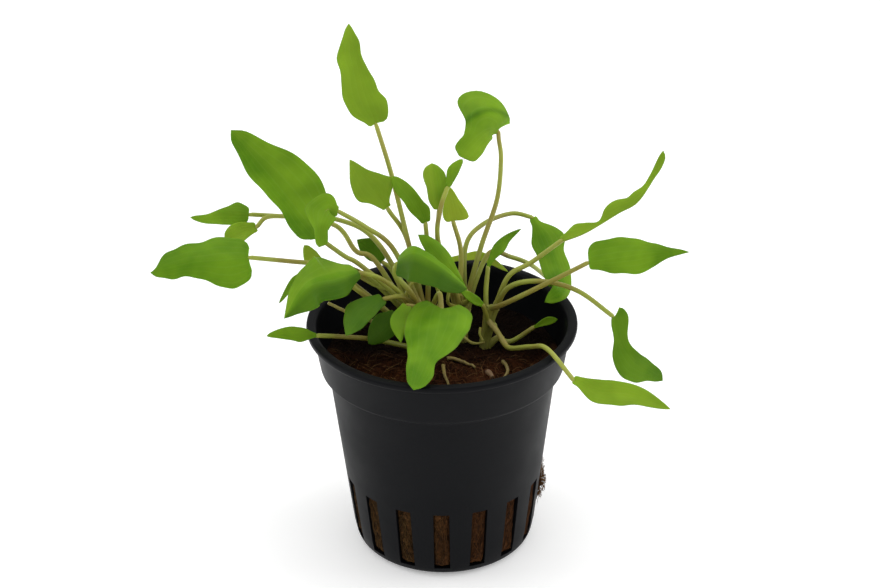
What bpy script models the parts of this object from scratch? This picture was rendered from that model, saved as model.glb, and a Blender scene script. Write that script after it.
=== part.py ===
"""A potted cryptocoryne: a young aquarium plant growing in a black slotted plastic pot.

The pot stands on the plane z = 0 with its axis on Z. The plant's front is toward -Y.
The pot holds a plug of mineral wool. Three crowns stand in the wool, and every leaf is
one piece with its stalk: a round petiole that flattens into the blade.
"""
import math
from collections import namedtuple

import bmesh
import bpy
import numpy as np
from mathutils import Matrix, Vector

MM = 0.001
GAP = 0.3

# pot, in millimetres
POT_HEIGHT = 49.5
RIM_RADIUS = 27.0
RIM_THICK = 1.2
COLLAR_TOP_RADIUS = 25.7
COLLAR_FOOT_RADIUS = 24.4
COLLAR_FOOT = 40.1
SHOULDER_RADIUS = 22.85
SHOULDER = 39.2
BODY_FOOT_RADIUS = 18.6
BODY_FOOT = 3.0
BASE_RADIUS = 16.4
WALL = 0.9
FLOOR = 1.0
TURN_STEPS = 48

# slots in the pot's wall and floor, the boxes that cut them through
WALL_SLOTS = 16
SLOT_WIDTH = 3.2
SLOT_LOW = 2.2
SLOT_HIGH = 16.2
FIRST_SLOT = -91.8
FLOOR_SLOTS = 8
FLOOR_SLOT_WIDTH = 2.0
FLOOR_SLOT_INNER = 6.0
FLOOR_SLOT_OUTER = 12.5
WALL_CUT_REACH = 8.0
FLOOR_CUT_REACH = 4.0

# mineral wool: its middle height, how far it domes, its ripple, and its rings of points
WOOL_TOP = 39.3
WOOL_RISE = 0.9
WOOL_RIPPLE = 0.25
WOOL_EDGE = 0.6
WOOL_RINGS = (5.0, 10.5, 16.0)
WOOL_STEPS = 24

# leaves
PETIOLE_RADIUS = 0.5
PETIOLE_SIDES = 8
JOINT_SHARE = 0.97
BLADE_THICK = 0.5
TIP_HALF_WIDTH = 0.12
LOBE_SHARE = 0.4
BLADE_ROWS = (0.0, 0.12, 0.3, 0.5, 0.7, 0.88, 1.0)
WIDTH_ROWS = (0.1, 0.3, 0.5, 0.7, 0.9)

# each crown: the middle of its foot, its top, and its radius at both
Crown = namedtuple("Crown", "x y top foot_radius top_radius")
CROWNS = {
    "crown_left": Crown(-3.0, 1.5, 52.5, 3.0, 1.9),
    "crown_back": Crown(4.0, 8.5, 51.5, 2.2, 1.5),
    "crown_right": Crown(9.5, 5.5, 50.5, 2.4, 1.5),
}
CROWN_FOOT = 40.6
CROWN_SIDES = 10

# A leaf starts on its crown at a compass angle (degrees) and a height. Its petiole and its
# midrib pass through points in millimetres, and the midrib's first point is where they join.
# "face" is the way the blade's upper side looks. "left" and "right" are the half widths in
# millimetres at WIDTH_ROWS, seen from above with the tip away. "lobe" is how far the base's
# corners reach back past the joint.
Leaf = namedtuple("Leaf", "name crown angle height petiole midrib face left right lobe")
LEAVES = (
    Leaf("leaf_tall", "crown_left", 112, 51.0,
         [(-6.5, 6, 64), (-9.5, 10, 76.5)],
         [(-12.5, 14, 86), (-14.5, 16, 91), (-16, 18.5, 97), (-17.5, 22, 104)],
         (0.1, -0.85, 0.5), (2.8, 4.5, 3.9, 3.7, 1.6), (3.4, 3.0, 2.1, 1.4, 0.8), 0.2),
    Leaf("leaf_big_left", "crown_left", 183, 50.0,
         [(-15.5, 2, 60.5), (-19, 1, 63.5)],
         [(-24, 1, 66.5), (-28, 6, 71), (-34, 10, 77.5), (-41, 13, 85.5)],
         (-0.2, -0.8, 0.55), (2.4, 2.8, 2.7, 3.0, 1.9), (5.0, 7.1, 7.2, 5.1, 2.5), 0.0),
    Leaf("leaf_left_front", "crown_left", 158, 52.0,
         [(-9.5, 4, 63.5), (-15, 3, 69)],
         [(-19.9, 1, 73.3), (-22, 0, 74.1), (-23.2, -2, 72), (-23.6, -4, 68)],
         (-0.3, -0.85, 0.4), (1.6, 2.3, 2.1, 1.8, 1.5), (1.8, 4.0, 3.0, 1.4, 0.9), 0.1),
    Leaf("leaf_left_upper", "crown_left", 140, 48.5,
         [(-12.5, 10, 61.5), (-20.5, 14, 65), (-32, 15, 65.5)],
         [(-38.5, 14, 66.5), (-43.5, 14, 67), (-47, 14.5, 66), (-50.5, 15, 65.5)],
         (-0.1, -0.75, 0.65), (2.1, 2.6, 2.4, 1.7, 0.8), (2.1, 2.1, 0.8, 0.5, 0.3), 0.0),
    Leaf("leaf_left_folded", "crown_left", 155, 46.0,
         [(-13, 7, 59), (-17, 8, 61), (-21.5, 11, 65.5), (-33.5, 12, 67)],
         [(-37, 11, 65), (-39.5, 10, 64.5), (-43, 8, 63.5)],
         (-0.1, -0.85, 0.5), (1.2, 1.7, 1.9, 1.7, 1.0), (1.2, 1.8, 2.3, 2.2, 1.4), 0.2),
    Leaf("leaf_left_long", "crown_left", 172, 47.5,
         [(-15, 3, 58), (-22, 0, 62), (-29.5, -1, 63.5)],
         [(-37.5, -2, 65), (-43, -3, 65), (-48.5, -4, 65), (-56.5, -5, 63.5)],
         (-0.1, -0.75, 0.65), (5.1, 5.0, 3.4, 2.2, 1.7), (4.6, 4.8, 4.3, 3.8, 1.5), 0.4),
    Leaf("leaf_left_low", "crown_left", 205, 48.5,
         [(-8, -0.5, 55.5), (-12, -2, 60)],
         [(-16, -4, 62.5), (-20.5, -9, 63.5), (-25.5, -13, 64), (-30, -17, 59.5)],
         (-0.25, -0.7, 0.65), (2.2, 3.8, 4.2, 3.9, 1.8), (4.2, 6.6, 5.0, 3.1, 1.2), 0.0),
    Leaf("leaf_left_thin", "crown_left", 190, 45.5,
         [(-18, -2.5, 59), (-23, -4, 63)],
         [(-26.5, -6, 63.5), (-29, -7.5, 61.5), (-31.5, -9, 58.5)],
         (-0.3, -0.8, 0.5), (0.8, 1.0, 0.9, 0.6, 0.3), (0.8, 1.1, 0.9, 0.6, 0.3), 0.0),
    Leaf("leaf_left_lowest", "crown_left", 205, 42.5,
         [(-8.5, -2, 45), (-14, -4, 47.5), (-19.5, -6.5, 49.5)],
         [(-24.5, -8.5, 51), (-28.5, -10, 52), (-34, -12, 53)],
         (-0.1, -0.7, 0.7), (0.7, 1.4, 1.3, 0.8, 0.4), (0.8, 1.4, 1.6, 1.4, 0.7), 0.0),
    Leaf("leaf_left_small", "crown_left", 222, 50.5,
         [(-7.5, -2.5, 56)],
         [(-11.5, -4, 56.5), (-14.5, -8, 56), (-18.5, -15, 54.5)],
         (-0.1, -0.85, 0.5), (1.2, 1.6, 1.7, 1.5, 0.8), (1.8, 3.2, 3.7, 2.9, 1.1), 0.3),
    Leaf("leaf_front", "crown_left", 290, 51.0,
         [(-0.5, -3, 57)],
         [(0, -9, 57), (-1, -16, 55.5), (-3, -22.5, 53), (-5.5, -29, 50.5)],
         (0, -0.7, 0.7), (6.1, 5.3, 3.4, 2.1, 1.6), (6.4, 6.2, 4.9, 3.7, 2.2), 2.4),
    Leaf("leaf_front_left", "crown_left", 265, 47.0,
         [(-4.5, -4, 53)],
         [(-7, -5, 54.5), (-8.5, -9, 53), (-8, -12.5, 50.5)],
         (-0.1, -0.85, 0.5), (1.4, 1.8, 1.8, 1.4, 0.6), (1.0, 1.6, 1.6, 1.2, 0.4), 0.3),
    Leaf("leaf_centre", "crown_left", 245, 50.5,
         [(-6, -2.5, 57), (-9, -3, 61.5)],
         [(-8.5, -4, 64.5), (-5, -7, 67.5), (0, -8, 65), (5, -7, 60)],
         (0.1, -0.6, 0.8), (2.6, 2.3, 1.7, 1.0, 0.6), (3.9, 5.1, 4.6, 3.7, 2.1), 0.5),
    Leaf("leaf_centre_back", "crown_back", 290, 49.0,
         [(5.5, 4, 52)],
         [(4.5, 3, 55), (1.5, 2, 61), (-1.5, 2, 65), (-4.5, 3, 67)],
         (0.3, -0.8, 0.5), (1.4, 2.5, 2.8, 2.5, 1.1), (0.6, 0.9, 1.3, 1.3, 0.9), 0.2),
    Leaf("leaf_kite", "crown_left", 125, 47.0,
         [(-6.5, 8, 62.5)],
         [(-10.5, 6, 71.5), (-14, 5.5, 77), (-17.5, 5, 82.5)],
         (-0.1, -0.9, 0.4), (1.4, 3.0, 3.6, 2.5, 0.9), (1.7, 3.8, 3.4, 1.8, 0.7), 0.1),
    Leaf("leaf_oblong", "crown_left", 85, 50.0,
         [(-2.5, 5, 60)],
         [(-3, 5.5, 68.4), (-4.1, 5.5, 71.4), (-6, 5, 75), (-9.3, 4.5, 79)],
         (-0.1, -0.9, 0.4), (1.1, 1.8, 1.9, 1.8, 1.1), (1.5, 1.7, 1.3, 1.2, 0.8), 0.1),
    Leaf("leaf_upper_middle", "crown_back", 175, 49.0,
         [(-0.5, 9, 61.5)],
         [(-0.3, 7.5, 70.3), (-1, 9, 73.5), (-1.6, 12.5, 78)],
         (0, -0.9, 0.4), (1.3, 1.5, 1.6, 2.0, 1.4), (1.4, 2.2, 2.6, 2.3, 1.3), 0.0),
    Leaf("leaf_narrow", "crown_back", 225, 50.5,
         [(-0.5, 5.5, 64), (0, 6, 71)],
         [(1.5, 8, 75), (3, 9.5, 77.5), (4.5, 11, 79.5)],
         (-0.4, -0.8, 0.4), (0.6, 1.2, 1.6, 1.5, 0.8), (0.7, 0.9, 1.0, 0.8, 0.5), 0.0),
    Leaf("leaf_top_folded", "crown_back", 20, 50.0,
         [(8.2, 11.3, 60.3), (11.4, 15.5, 68.3), (12.3, 18.5, 75.7), (11.9, 20, 79.6)],
         [(12.7, 20.5, 83.3), (9.9, 19, 83), (6.9, 16.5, 81.5), (3.8, 13.5, 79)],
         (0.1, -0.9, 0.4), (1.9, 2.6, 3.0, 3.4, 2.9), (6.7, 5.3, 2.3, 1.7, 1.6), 0.8),
    Leaf("leaf_yellow", "crown_back", 100, 51.0,
         [(4, 11.5, 59)],
         [(2.5, 12, 65.4), (2.1, 13, 68.5), (2, 14, 72)],
         (0, -0.9, 0.4), (1.7, 1.9, 1.6, 1.1, 0.5), (3.3, 2.9, 2.3, 1.6, 0.6), 0.1),
    Leaf("leaf_dark_narrow", "crown_right", 110, 47.0,
         [(9, 9, 51)],
         [(9.5, 11, 55.5), (11, 13, 58), (13, 15, 59.5), (16.5, 17, 61)],
         (0.2, -0.8, 0.5), (0.6, 0.9, 0.9, 0.8, 0.4), (0.6, 1.2, 1.4, 0.9, 0.3), 0.0),
    Leaf("leaf_arched", "crown_back", 60, 48.5,
         [(5, 14, 58.5), (8.5, 18, 61.5), (14.5, 22, 62)],
         [(19, 21, 61.5), (21.5, 17, 58.5), (24, 10, 54), (24.5, 4, 53), (20.5, 2, 52)],
         (0.2, -0.9, 0.4), (1.2, 3.0, 2.6, 1.6, 1.0), (1.8, 3.1, 3.1, 3.2, 2.1), 0.1),
    Leaf("leaf_right_wavy", "crown_right", 350, 49.5,
         [(13.5, 5, 56.5), (18, 5, 59.5)],
         [(24, 4, 64.9), (28.6, 3.5, 67), (35, 5, 70.3), (38.8, 6, 72.3), (42.3, 9, 76.6), (44, 11, 80.8)],
         (0, -0.6, 0.8), (1.3, 1.4, 2.0, 1.4, 0.6), (0.4, 0.3, 0.3, 0.3, 0.8), 0.3),
    Leaf("leaf_right_pointed", "crown_right", 285, 49.5,
         [(12.6, 1.2, 52.3), (20.5, -2, 58.3)],
         [(28.5, -6, 65), (34.5, -7, 66.5), (41, -9, 68.5), (47.5, -10, 69)],
         (0.1, -0.75, 0.65), (4.0, 4.0, 3.3, 1.7, 0.6), (1.9, 3.2, 3.7, 2.1, 0.6), 0.0),
    Leaf("leaf_right_hanging", "crown_right", 322, 48.3,
         [(13.3, 3.5, 54.6), (19.3, 0.5, 57.6), (26.5, -4, 57.8)],
         [(33.5, -8, 54), (34.5, -10, 50), (37.5, -11, 45.5), (43.5, -9, 40)],
         (0.3, -0.9, 0.3), (2.9, 2.0, 1.8, 2.1, 1.3), (0.8, 2.0, 4.0, 2.9, 1.0), 0.8),
    Leaf("leaf_right_low", "crown_right", 300, 46.0,
         [(11.2, 0.8, 45.9), (13.2, -3, 44.6), (17.2, -9, 48.1), (20.3, -14.4, 50.6)],
         [(25, -22, 48), (30, -23, 46), (35.5, -24, 46), (43.5, -24, 42.5)],
         (0.1, -0.75, 0.65), (1.5, 2.5, 2.5, 2.2, 0.9), (1.3, 2.3, 2.6, 1.3, 0.6), 0.2),
    Leaf("leaf_young", "crown_right", 0, 42.0,
         [(14, 5, 41.5)],
         [(17.8, 5.5, 44), (20.6, 5, 45.8), (23, 4, 47)],
         (0, -0.9, 0.4), (0.5, 0.9, 1.0, 1.0, 0.6), (0.5, 0.8, 0.9, 0.9, 0.6), 0.0),
    Leaf("leaf_inner_left", "crown_left", 130, 44.5,
         [(-9.5, 11, 54)],
         [(-12, 12, 56.5), (-14.5, 13, 58.5), (-17, 14, 60.5)],
         (-0.1, -0.85, 0.5), (0.9, 1.5, 1.5, 1.2, 0.5), (1.4, 2.3, 2.8, 2.3, 0.9), 0.2),
    Leaf("leaf_inner_yellow", "crown_left", 172, 44.0,
         [(-12, 3, 51), (-19, 3, 57.5)],
         [(-23.5, 2.5, 61), (-25.5, 3, 62.5), (-27, 4, 64.5)],
         (0, -0.9, 0.4), (1.2, 2.0, 1.8, 1.2, 0.6), (0.8, 1.2, 1.4, 1.2, 0.7), 0.2),
    Leaf("leaf_back_yellow", "crown_back", 130, 46.0,
         [(1.5, 13, 52)],
         [(1.8, 15, 55.1), (5.3, 16, 55.2), (8.6, 17, 54.6), (13.8, 18, 50.6)],
         (0, -0.7, 0.7), (0.7, 0.8, 0.9, 0.9, 0.5), (0.7, 0.8, 0.9, 0.8, 0.4), 0.0),
    Leaf("leaf_inner_low", "crown_left", 228, 44.5,
         [(-7, -3, 52)],
         [(-9, -3.5, 52.5), (-11.5, -5, 50.5), (-14.5, -6, 47.5)],
         (0, -0.9, 0.4), (1.6, 2.4, 2.4, 2.0, 1.0), (1.6, 2.4, 2.4, 2.0, 1.0), 0.3),
    Leaf("leaf_back_right", "crown_back", 40, 45.5,
         [(6.9, 11.8, 51.5), (10, 15.9, 56.2), (14.2, 19, 53.6), (18.6, 20.8, 50.7)],
         [(23.5, 26.5, 43.5), (25, 29, 40.5), (26.5, 32, 37.5)],
         (0, -0.8, 0.6), (0.7, 1.1, 1.1, 0.9, 0.2), (0.7, 1.1, 1.1, 0.9, 0.2), 0.0),
    Leaf("leaf_small_centre", "crown_right", 255, 46.5,
         [(8.9, 2.6, 49)],
         [(8.2, 2, 51.6), (6, 1, 53.7), (3.6, -0.3, 56.2)],
         (0.1, -0.8, 0.6), (0.6, 0.9, 0.9, 0.7, 0.3), (0.6, 1.0, 1.0, 0.8, 0.3), 0.0),
)

# bare roots that lie on the wool: their points from above, in millimetres
ROOTS = {
    "root_middle": [(1, -1.2), (2.5, -0.8), (4.5, -1.7), (6.5, -4.3)],
    "root_left": [(0.1, -3.2), (0.5, -7.5), (1.2, -10.6)],
    "root_right": [(12.1, -1.8), (13, -4.4), (12.4, -7), (11.2, -8.2)],
}
ROOT_RADIUS = 0.4

# colour, roughness and metallic value of each material
MATERIALS = {
    "pot_plastic": ((0.016, 0.016, 0.018), 0.45, 0.0),
    "wool": ((0.05, 0.022, 0.008), 0.95, 0.0),
    "leaf": ((0.14, 0.30, 0.025), 0.45, 0.0),
    "crown": ((0.20, 0.24, 0.07), 0.55, 0.0),
    "root": ((0.30, 0.20, 0.11), 0.70, 0.0),
}


def clear_scene():
    """Remove every object that the opened file holds."""
    for item in list(bpy.data.objects):
        bpy.data.objects.remove(item, do_unlink=True)


def make_collection(name):
    """A new collection under the scene's own."""
    collection = bpy.data.collections.new(name)
    bpy.context.scene.collection.children.link(collection)
    return collection


def make_material(name):
    """A Principled material with the colour and finish listed above."""
    colour, roughness, metallic = MATERIALS[name]
    material = bpy.data.materials.new(name)
    material.use_nodes = True
    shader = material.node_tree.nodes["Principled BSDF"]
    shader.inputs["Base Color"].default_value = (*colour, 1.0)
    shader.inputs["Roughness"].default_value = roughness
    shader.inputs["Metallic"].default_value = metallic
    return material


def add_object(name, data, collection, material=None):
    """Link a mesh or curve as a named object, with its own material."""
    item = bpy.data.objects.new(name, data)
    collection.objects.link(item)
    if material:
        data.materials.append(material)
    return item


def mesh_from(bm, name, smooth=True):
    """Turn a bmesh in millimetres into a mesh in metres with its faces pointing out."""
    bmesh.ops.recalc_face_normals(bm, faces=bm.faces)
    bmesh.ops.transform(bm, matrix=Matrix.Scale(MM, 4), verts=bm.verts)
    mesh = bpy.data.meshes.new(name)
    bm.to_mesh(mesh)
    bm.free()
    if smooth:
        mesh.shade_smooth()
        mesh.set_sharp_from_angle(angle=math.radians(40))
    return mesh


def turned(name, profile, collection, material):
    """Turn a profile of (radius, height) points in millimetres about the Z axis."""
    mesh = bpy.data.meshes.new(name)
    points = [(radius * MM, 0.0, height * MM) for radius, height in profile]
    mesh.from_pydata(points, [(i, i + 1) for i in range(len(points) - 1)], [])
    item = add_object(name, mesh, collection, material)
    screw = item.modifiers.new("turn", "SCREW")
    screw.steps = screw.render_steps = TURN_STEPS
    screw.use_merge_vertices = True
    screw.merge_threshold = 0.00001
    return item


def wall_radius(height):
    """The pot's outer radius at a height below the shoulder."""
    share = (height - BODY_FOOT) / (SHOULDER - BODY_FOOT)
    return BODY_FOOT_RADIUS + share * (SHOULDER_RADIUS - BODY_FOOT_RADIUS)


def pot_profile():
    """From the middle of the floor up the inside, over the rim and down the outside."""
    inside = [
        (0.0, FLOOR),
        (BASE_RADIUS - 0.3, FLOOR),
        (wall_radius(BODY_FOOT) - WALL, BODY_FOOT),
        (wall_radius(SHOULDER) - WALL, SHOULDER + WALL),
        (COLLAR_FOOT_RADIUS - WALL, COLLAR_FOOT + WALL),
        (COLLAR_TOP_RADIUS - WALL, POT_HEIGHT - 0.6),
        (COLLAR_TOP_RADIUS - WALL + 0.4, POT_HEIGHT),
    ]
    rim = [
        (RIM_RADIUS - 0.3, POT_HEIGHT),
        (RIM_RADIUS, POT_HEIGHT - 0.3),
        (RIM_RADIUS, POT_HEIGHT - RIM_THICK),
        (COLLAR_TOP_RADIUS, POT_HEIGHT - RIM_THICK - 0.2),
    ]
    outside = [
        (COLLAR_FOOT_RADIUS, COLLAR_FOOT),
        (SHOULDER_RADIUS, SHOULDER),
        (BODY_FOOT_RADIUS, BODY_FOOT),
        (BODY_FOOT_RADIUS - 0.7, 0.9),
        (BASE_RADIUS, 0.0),
        (0.0, 0.0),
    ]
    return inside + rim + outside


def add_box(bm, size, centre, angle):
    """A box, moved out along X and turned about the pot's axis."""
    place = Matrix.Rotation(angle, 4, "Z") @ Matrix.Translation(centre)
    bmesh.ops.create_cube(bm, size=1.0, matrix=place @ Matrix.Diagonal((*size, 1.0)))


def slot_cutter(collection):
    """One box for each slot of the wall and of the floor."""
    bm = bmesh.new()
    high = SLOT_HIGH - SLOT_LOW
    for i in range(WALL_SLOTS):
        angle = math.radians(FIRST_SLOT + 360 * i / WALL_SLOTS)
        centre = (BODY_FOOT_RADIUS, 0.0, SLOT_LOW + high / 2)
        add_box(bm, (WALL_CUT_REACH, SLOT_WIDTH, high), centre, angle)
    length = FLOOR_SLOT_OUTER - FLOOR_SLOT_INNER
    middle = (FLOOR_SLOT_OUTER + FLOOR_SLOT_INNER) / 2
    for i in range(FLOOR_SLOTS):
        angle = math.radians(FIRST_SLOT + 360 * i / FLOOR_SLOTS)
        add_box(bm, (length, FLOOR_SLOT_WIDTH, FLOOR_CUT_REACH), (middle, 0.0, FLOOR / 2), angle)
    cutter = add_object("slots", mesh_from(bm, "slots", smooth=False), collection)
    cutter.hide_render = True
    cutter.display_type = "WIRE"
    return cutter


def make_pot(parts, cutters):
    """The turned pot with its slots cut through."""
    pot = turned("pot", pot_profile(), parts, make_material("pot_plastic"))
    cut = pot.modifiers.new("slots", "BOOLEAN")
    cut.object = slot_cutter(cutters)
    cut.operation = "DIFFERENCE"
    cut.solver = "EXACT"
    return pot


def wool_height(x, y):
    """The wool's uneven top, in millimetres, above the pot's foot."""
    radius = math.hypot(x, y)
    dome = WOOL_RISE * (1 - (radius / SHOULDER_RADIUS) ** 2)
    ripple = WOOL_RIPPLE * math.sin(0.55 * x + 1.0) * math.cos(0.48 * y)
    return WOOL_TOP + dome + ripple


def make_wool(parts):
    """The plug of mineral wool, a gap clear of the pot all round."""
    inset = WALL + GAP
    rings = WOOL_RINGS + (wall_radius(SHOULDER) - inset - WOOL_EDGE,)
    side = [
        (wall_radius(WOOL_TOP - 2.0) - inset, WOOL_TOP - 2.0),
        (wall_radius(SLOT_HIGH) - inset, SLOT_HIGH),
        (wall_radius(BODY_FOOT) - inset, BODY_FOOT + 0.3),
        (BASE_RADIUS - WALL, FLOOR + GAP),
    ]
    bm = bmesh.new()
    angles = [math.tau * i / WOOL_STEPS for i in range(WOOL_STEPS)]
    turns = [(math.cos(a), math.sin(a)) for a in angles]
    top = bm.verts.new((0.0, 0.0, wool_height(0.0, 0.0)))
    foot = bm.verts.new((0.0, 0.0, FLOOR + GAP))
    loops = []
    for radius in rings:
        loops.append([bm.verts.new((radius * c, radius * s, wool_height(radius * c, radius * s)))
                      for c, s in turns])
    for radius, height in side:
        loops.append([bm.verts.new((radius * c, radius * s, height)) for c, s in turns])
    for i in range(WOOL_STEPS):
        j = (i + 1) % WOOL_STEPS
        bm.faces.new((top, loops[0][i], loops[0][j]))
        bm.faces.new((foot, loops[-1][j], loops[-1][i]))
        for upper, lower in zip(loops, loops[1:]):
            bm.faces.new((upper[i], lower[i], lower[j], upper[j]))
    add_object("mineral_wool", mesh_from(bm, "mineral_wool"), parts, make_material("wool"))


def smooth_path(points, shares):
    """Points at the given shares of the length of a Catmull-Rom curve through the points."""
    knots = np.array(points, dtype=float)
    ends = np.vstack([2 * knots[0] - knots[1], knots, 2 * knots[-1] - knots[-2]])
    t = np.linspace(0.0, 1.0, 12, endpoint=False)[:, None]
    pieces = []
    for a, b, c, d in zip(ends, ends[1:], ends[2:], ends[3:]):
        pieces.append(0.5 * (2 * b + (c - a) * t + (2 * a - 5 * b + 4 * c - d) * t ** 2
                             + (3 * b - a - 3 * c + d) * t ** 3))
    dense = np.vstack(pieces + [knots[-1:]])
    run = np.concatenate([[0.0], np.cumsum(np.linalg.norm(np.diff(dense, axis=0), axis=1))])
    where = np.array(shares) * run[-1]
    return np.stack([np.interp(where, run, dense[:, axis]) for axis in range(3)], axis=1)


def unit(vectors):
    """Each row at length one."""
    return vectors / np.linalg.norm(vectors, axis=1, keepdims=True)


def frames(path, face):
    """Along, across and upward directions at each point of a path."""
    along = unit(np.gradient(path, axis=0))
    face = np.array(face, dtype=float)
    up = unit(face - (along @ face)[:, None] * along)
    return along, np.cross(along, up), up


def petiole_start(leaf):
    """The petiole's first point, a gap clear of its crown."""
    crown = CROWNS[leaf.crown]
    share = (leaf.height - CROWN_FOOT) / (crown.top - CROWN_FOOT)
    radius = crown.foot_radius + share * (crown.top_radius - crown.foot_radius)
    reach = max(radius, crown.top_radius) + GAP + PETIOLE_RADIUS
    angle = math.radians(leaf.angle)
    return (crown.x + reach * math.cos(angle), crown.y + reach * math.sin(angle), leaf.height)


def petiole_rings(leaf):
    """Round rings from the crown to just short of the blade."""
    points = [petiole_start(leaf)] + leaf.petiole + [leaf.midrib[0]]
    path = smooth_path(points, np.append(np.linspace(0.0, 0.88, 2 * len(points) - 3), JOINT_SHARE))
    along, across, up = frames(path, leaf.face)
    turn = [math.pi - math.tau * k / PETIOLE_SIDES for k in range(PETIOLE_SIDES)]
    rings = []
    for point, side, top in zip(path, across, up):
        rings.append([point + PETIOLE_RADIUS * (math.cos(a) * side + math.sin(a) * top) for a in turn])
    return rings


def blade_rings(leaf):
    """Flat rings along the blade: edge, quarter, middle, quarter, edge and back."""
    path = smooth_path(leaf.midrib, BLADE_ROWS)
    along, across, up = frames(path, leaf.face)
    rows = (0.0,) + WIDTH_ROWS + (1.0,)
    rings = []
    for i, row in enumerate(BLADE_ROWS):
        left = np.interp(row, rows, (0.8 * leaf.left[0],) + leaf.left + (TIP_HALF_WIDTH,))
        right = np.interp(row, rows, (0.8 * leaf.right[0],) + leaf.right + (TIP_HALF_WIDTH,))
        back = leaf.lobe * max(0.0, 1 - row / LOBE_SHARE) * along[i]
        thick = BLADE_THICK / 2 * (1 - 0.7 * row) * up[i]
        edge_left = path[i] - left * across[i] - back
        edge_right = path[i] + right * across[i] - back
        quarter_left = (path[i] + edge_left) / 2
        quarter_right = (path[i] + edge_right) / 2
        rings.append([edge_left, quarter_left + 0.8 * thick, path[i] + thick, quarter_right + 0.8 * thick,
                      edge_right, quarter_right - 0.8 * thick, path[i] - thick, quarter_left - 0.8 * thick])
    return rings


def loft(bm, rings):
    """Skin a row of rings and close both ends."""
    loops = [[bm.verts.new(Vector(point)) for point in ring] for ring in rings]
    for first, second in zip(loops, loops[1:]):
        for k in range(len(first)):
            m = (k + 1) % len(first)
            bm.faces.new((first[k], first[m], second[m], second[k]))
    bm.faces.new(loops[0])
    bm.faces.new(loops[-1])


def make_leaf(leaf, parts):
    """A leaf with its petiole as one closed body."""
    bm = bmesh.new()
    loft(bm, petiole_rings(leaf) + blade_rings(leaf))
    add_object(leaf.name, mesh_from(bm, leaf.name), parts, make_material("leaf"))


def make_crown(name, crown, parts):
    """The short stem in its sheaths, a gap above the wool and narrowing upward."""
    bm = bmesh.new()
    turn = [math.tau * k / CROWN_SIDES for k in range(CROWN_SIDES)]
    heights = [CROWN_FOOT, (CROWN_FOOT + crown.top) / 2, crown.top - 0.6, crown.top]
    shares = (1.0, 0.5, 0.0, -0.6)
    rings = []
    for height, share in zip(heights, shares):
        radius = crown.top_radius + share * (crown.foot_radius - crown.top_radius)
        rings.append([(crown.x + radius * math.cos(a), crown.y + radius * math.sin(a), height) for a in turn])
    loft(bm, rings)
    add_object(name, mesh_from(bm, name), parts, make_material("crown"))


def make_root(name, plan, parts):
    """A thin root that lies along the wool's top."""
    lift = ROOT_RADIUS + GAP + 0.1
    path = smooth_path([(x, y, wool_height(x, y) + lift) for x, y in plan], np.linspace(0.0, 1.0, 7))
    curve = bpy.data.curves.new(name, "CURVE")
    curve.dimensions = "3D"
    curve.bevel_depth = ROOT_RADIUS * MM
    curve.bevel_resolution = 1
    curve.use_fill_caps = True
    spline = curve.splines.new("POLY")
    spline.points.add(len(path) - 1)
    for point, place in zip(spline.points, path):
        point.co = (*(place * MM), 1.0)
    add_object(name, curve, parts, make_material("root"))


def main():
    """Build the pot, the wool and the plant."""
    clear_scene()
    parts = make_collection("potted_cryptocoryne")
    cutters = make_collection("cutters")
    make_pot(parts, cutters)
    make_wool(parts)
    for name, crown in CROWNS.items():
        make_crown(name, crown, parts)
    for leaf in LEAVES:
        make_leaf(leaf, parts)
    for name, plan in ROOTS.items():
        make_root(name, plan, parts)


main()
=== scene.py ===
"""The look of a potted cryptocoryne: leaves, stalks, mineral wool and a black slotted pot.

Every length in the tables is in millimetres. The plant's front is toward -Y and +Z is up.
New surfaces are worked out with numpy, as a function of two parameters on a grid or as a
ring carried along a path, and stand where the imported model's solids stand.
"""
import math
from collections import namedtuple

import bmesh
import bpy
import numpy as np
from mathutils import Matrix, Vector


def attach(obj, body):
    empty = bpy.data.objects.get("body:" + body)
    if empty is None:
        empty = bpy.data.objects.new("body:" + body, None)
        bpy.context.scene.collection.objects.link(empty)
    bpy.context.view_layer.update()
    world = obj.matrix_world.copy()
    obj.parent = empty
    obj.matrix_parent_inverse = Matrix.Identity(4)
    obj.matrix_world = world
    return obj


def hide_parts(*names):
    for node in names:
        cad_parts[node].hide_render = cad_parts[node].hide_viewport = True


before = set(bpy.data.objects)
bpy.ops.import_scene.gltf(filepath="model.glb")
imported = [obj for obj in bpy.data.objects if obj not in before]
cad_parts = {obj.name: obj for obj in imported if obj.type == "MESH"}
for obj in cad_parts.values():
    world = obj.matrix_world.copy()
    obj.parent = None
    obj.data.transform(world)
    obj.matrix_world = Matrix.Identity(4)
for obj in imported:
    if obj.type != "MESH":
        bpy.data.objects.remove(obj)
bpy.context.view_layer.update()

MM = 0.001
SEED = 1918

# camera: the photo's viewing angle, worked out from the rim, the slots and the foot
LENS = 90.0
SENSOR = 36.0
DISTANCE = 436.0
ELEVATION = 28.2
ROLL = -0.75
LOOK_AT = (-0.3, 0.7, 54.9)

# pot
POT_HEIGHT = 49.5
RIM_RADIUS = 27.0
RIM_THICK = 1.2
COLLAR_TOP_RADIUS = 25.7
COLLAR_FOOT_RADIUS = 24.4
COLLAR_FOOT = 40.1
SHOULDER_RADIUS = 22.85
SHOULDER = 39.2
BODY_FOOT_RADIUS = 18.6
BODY_FOOT = 3.0
# the curve of the foot passes this heel on its way to the flat base
HEEL_RADIUS = BODY_FOOT_RADIUS - 0.7
HEEL = 0.9
BASE_RADIUS = 16.4
WALL = 0.9
FLOOR = 1.0
FLOOR_RADIUS = BASE_RADIUS - 0.3
# how far the profile's corners are rounded, those of the foot, and the bevel of the edges
CORNER_ROUND = 0.45
FOOT_ROUND = 0.8
POT_EDGE = 0.16

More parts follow.
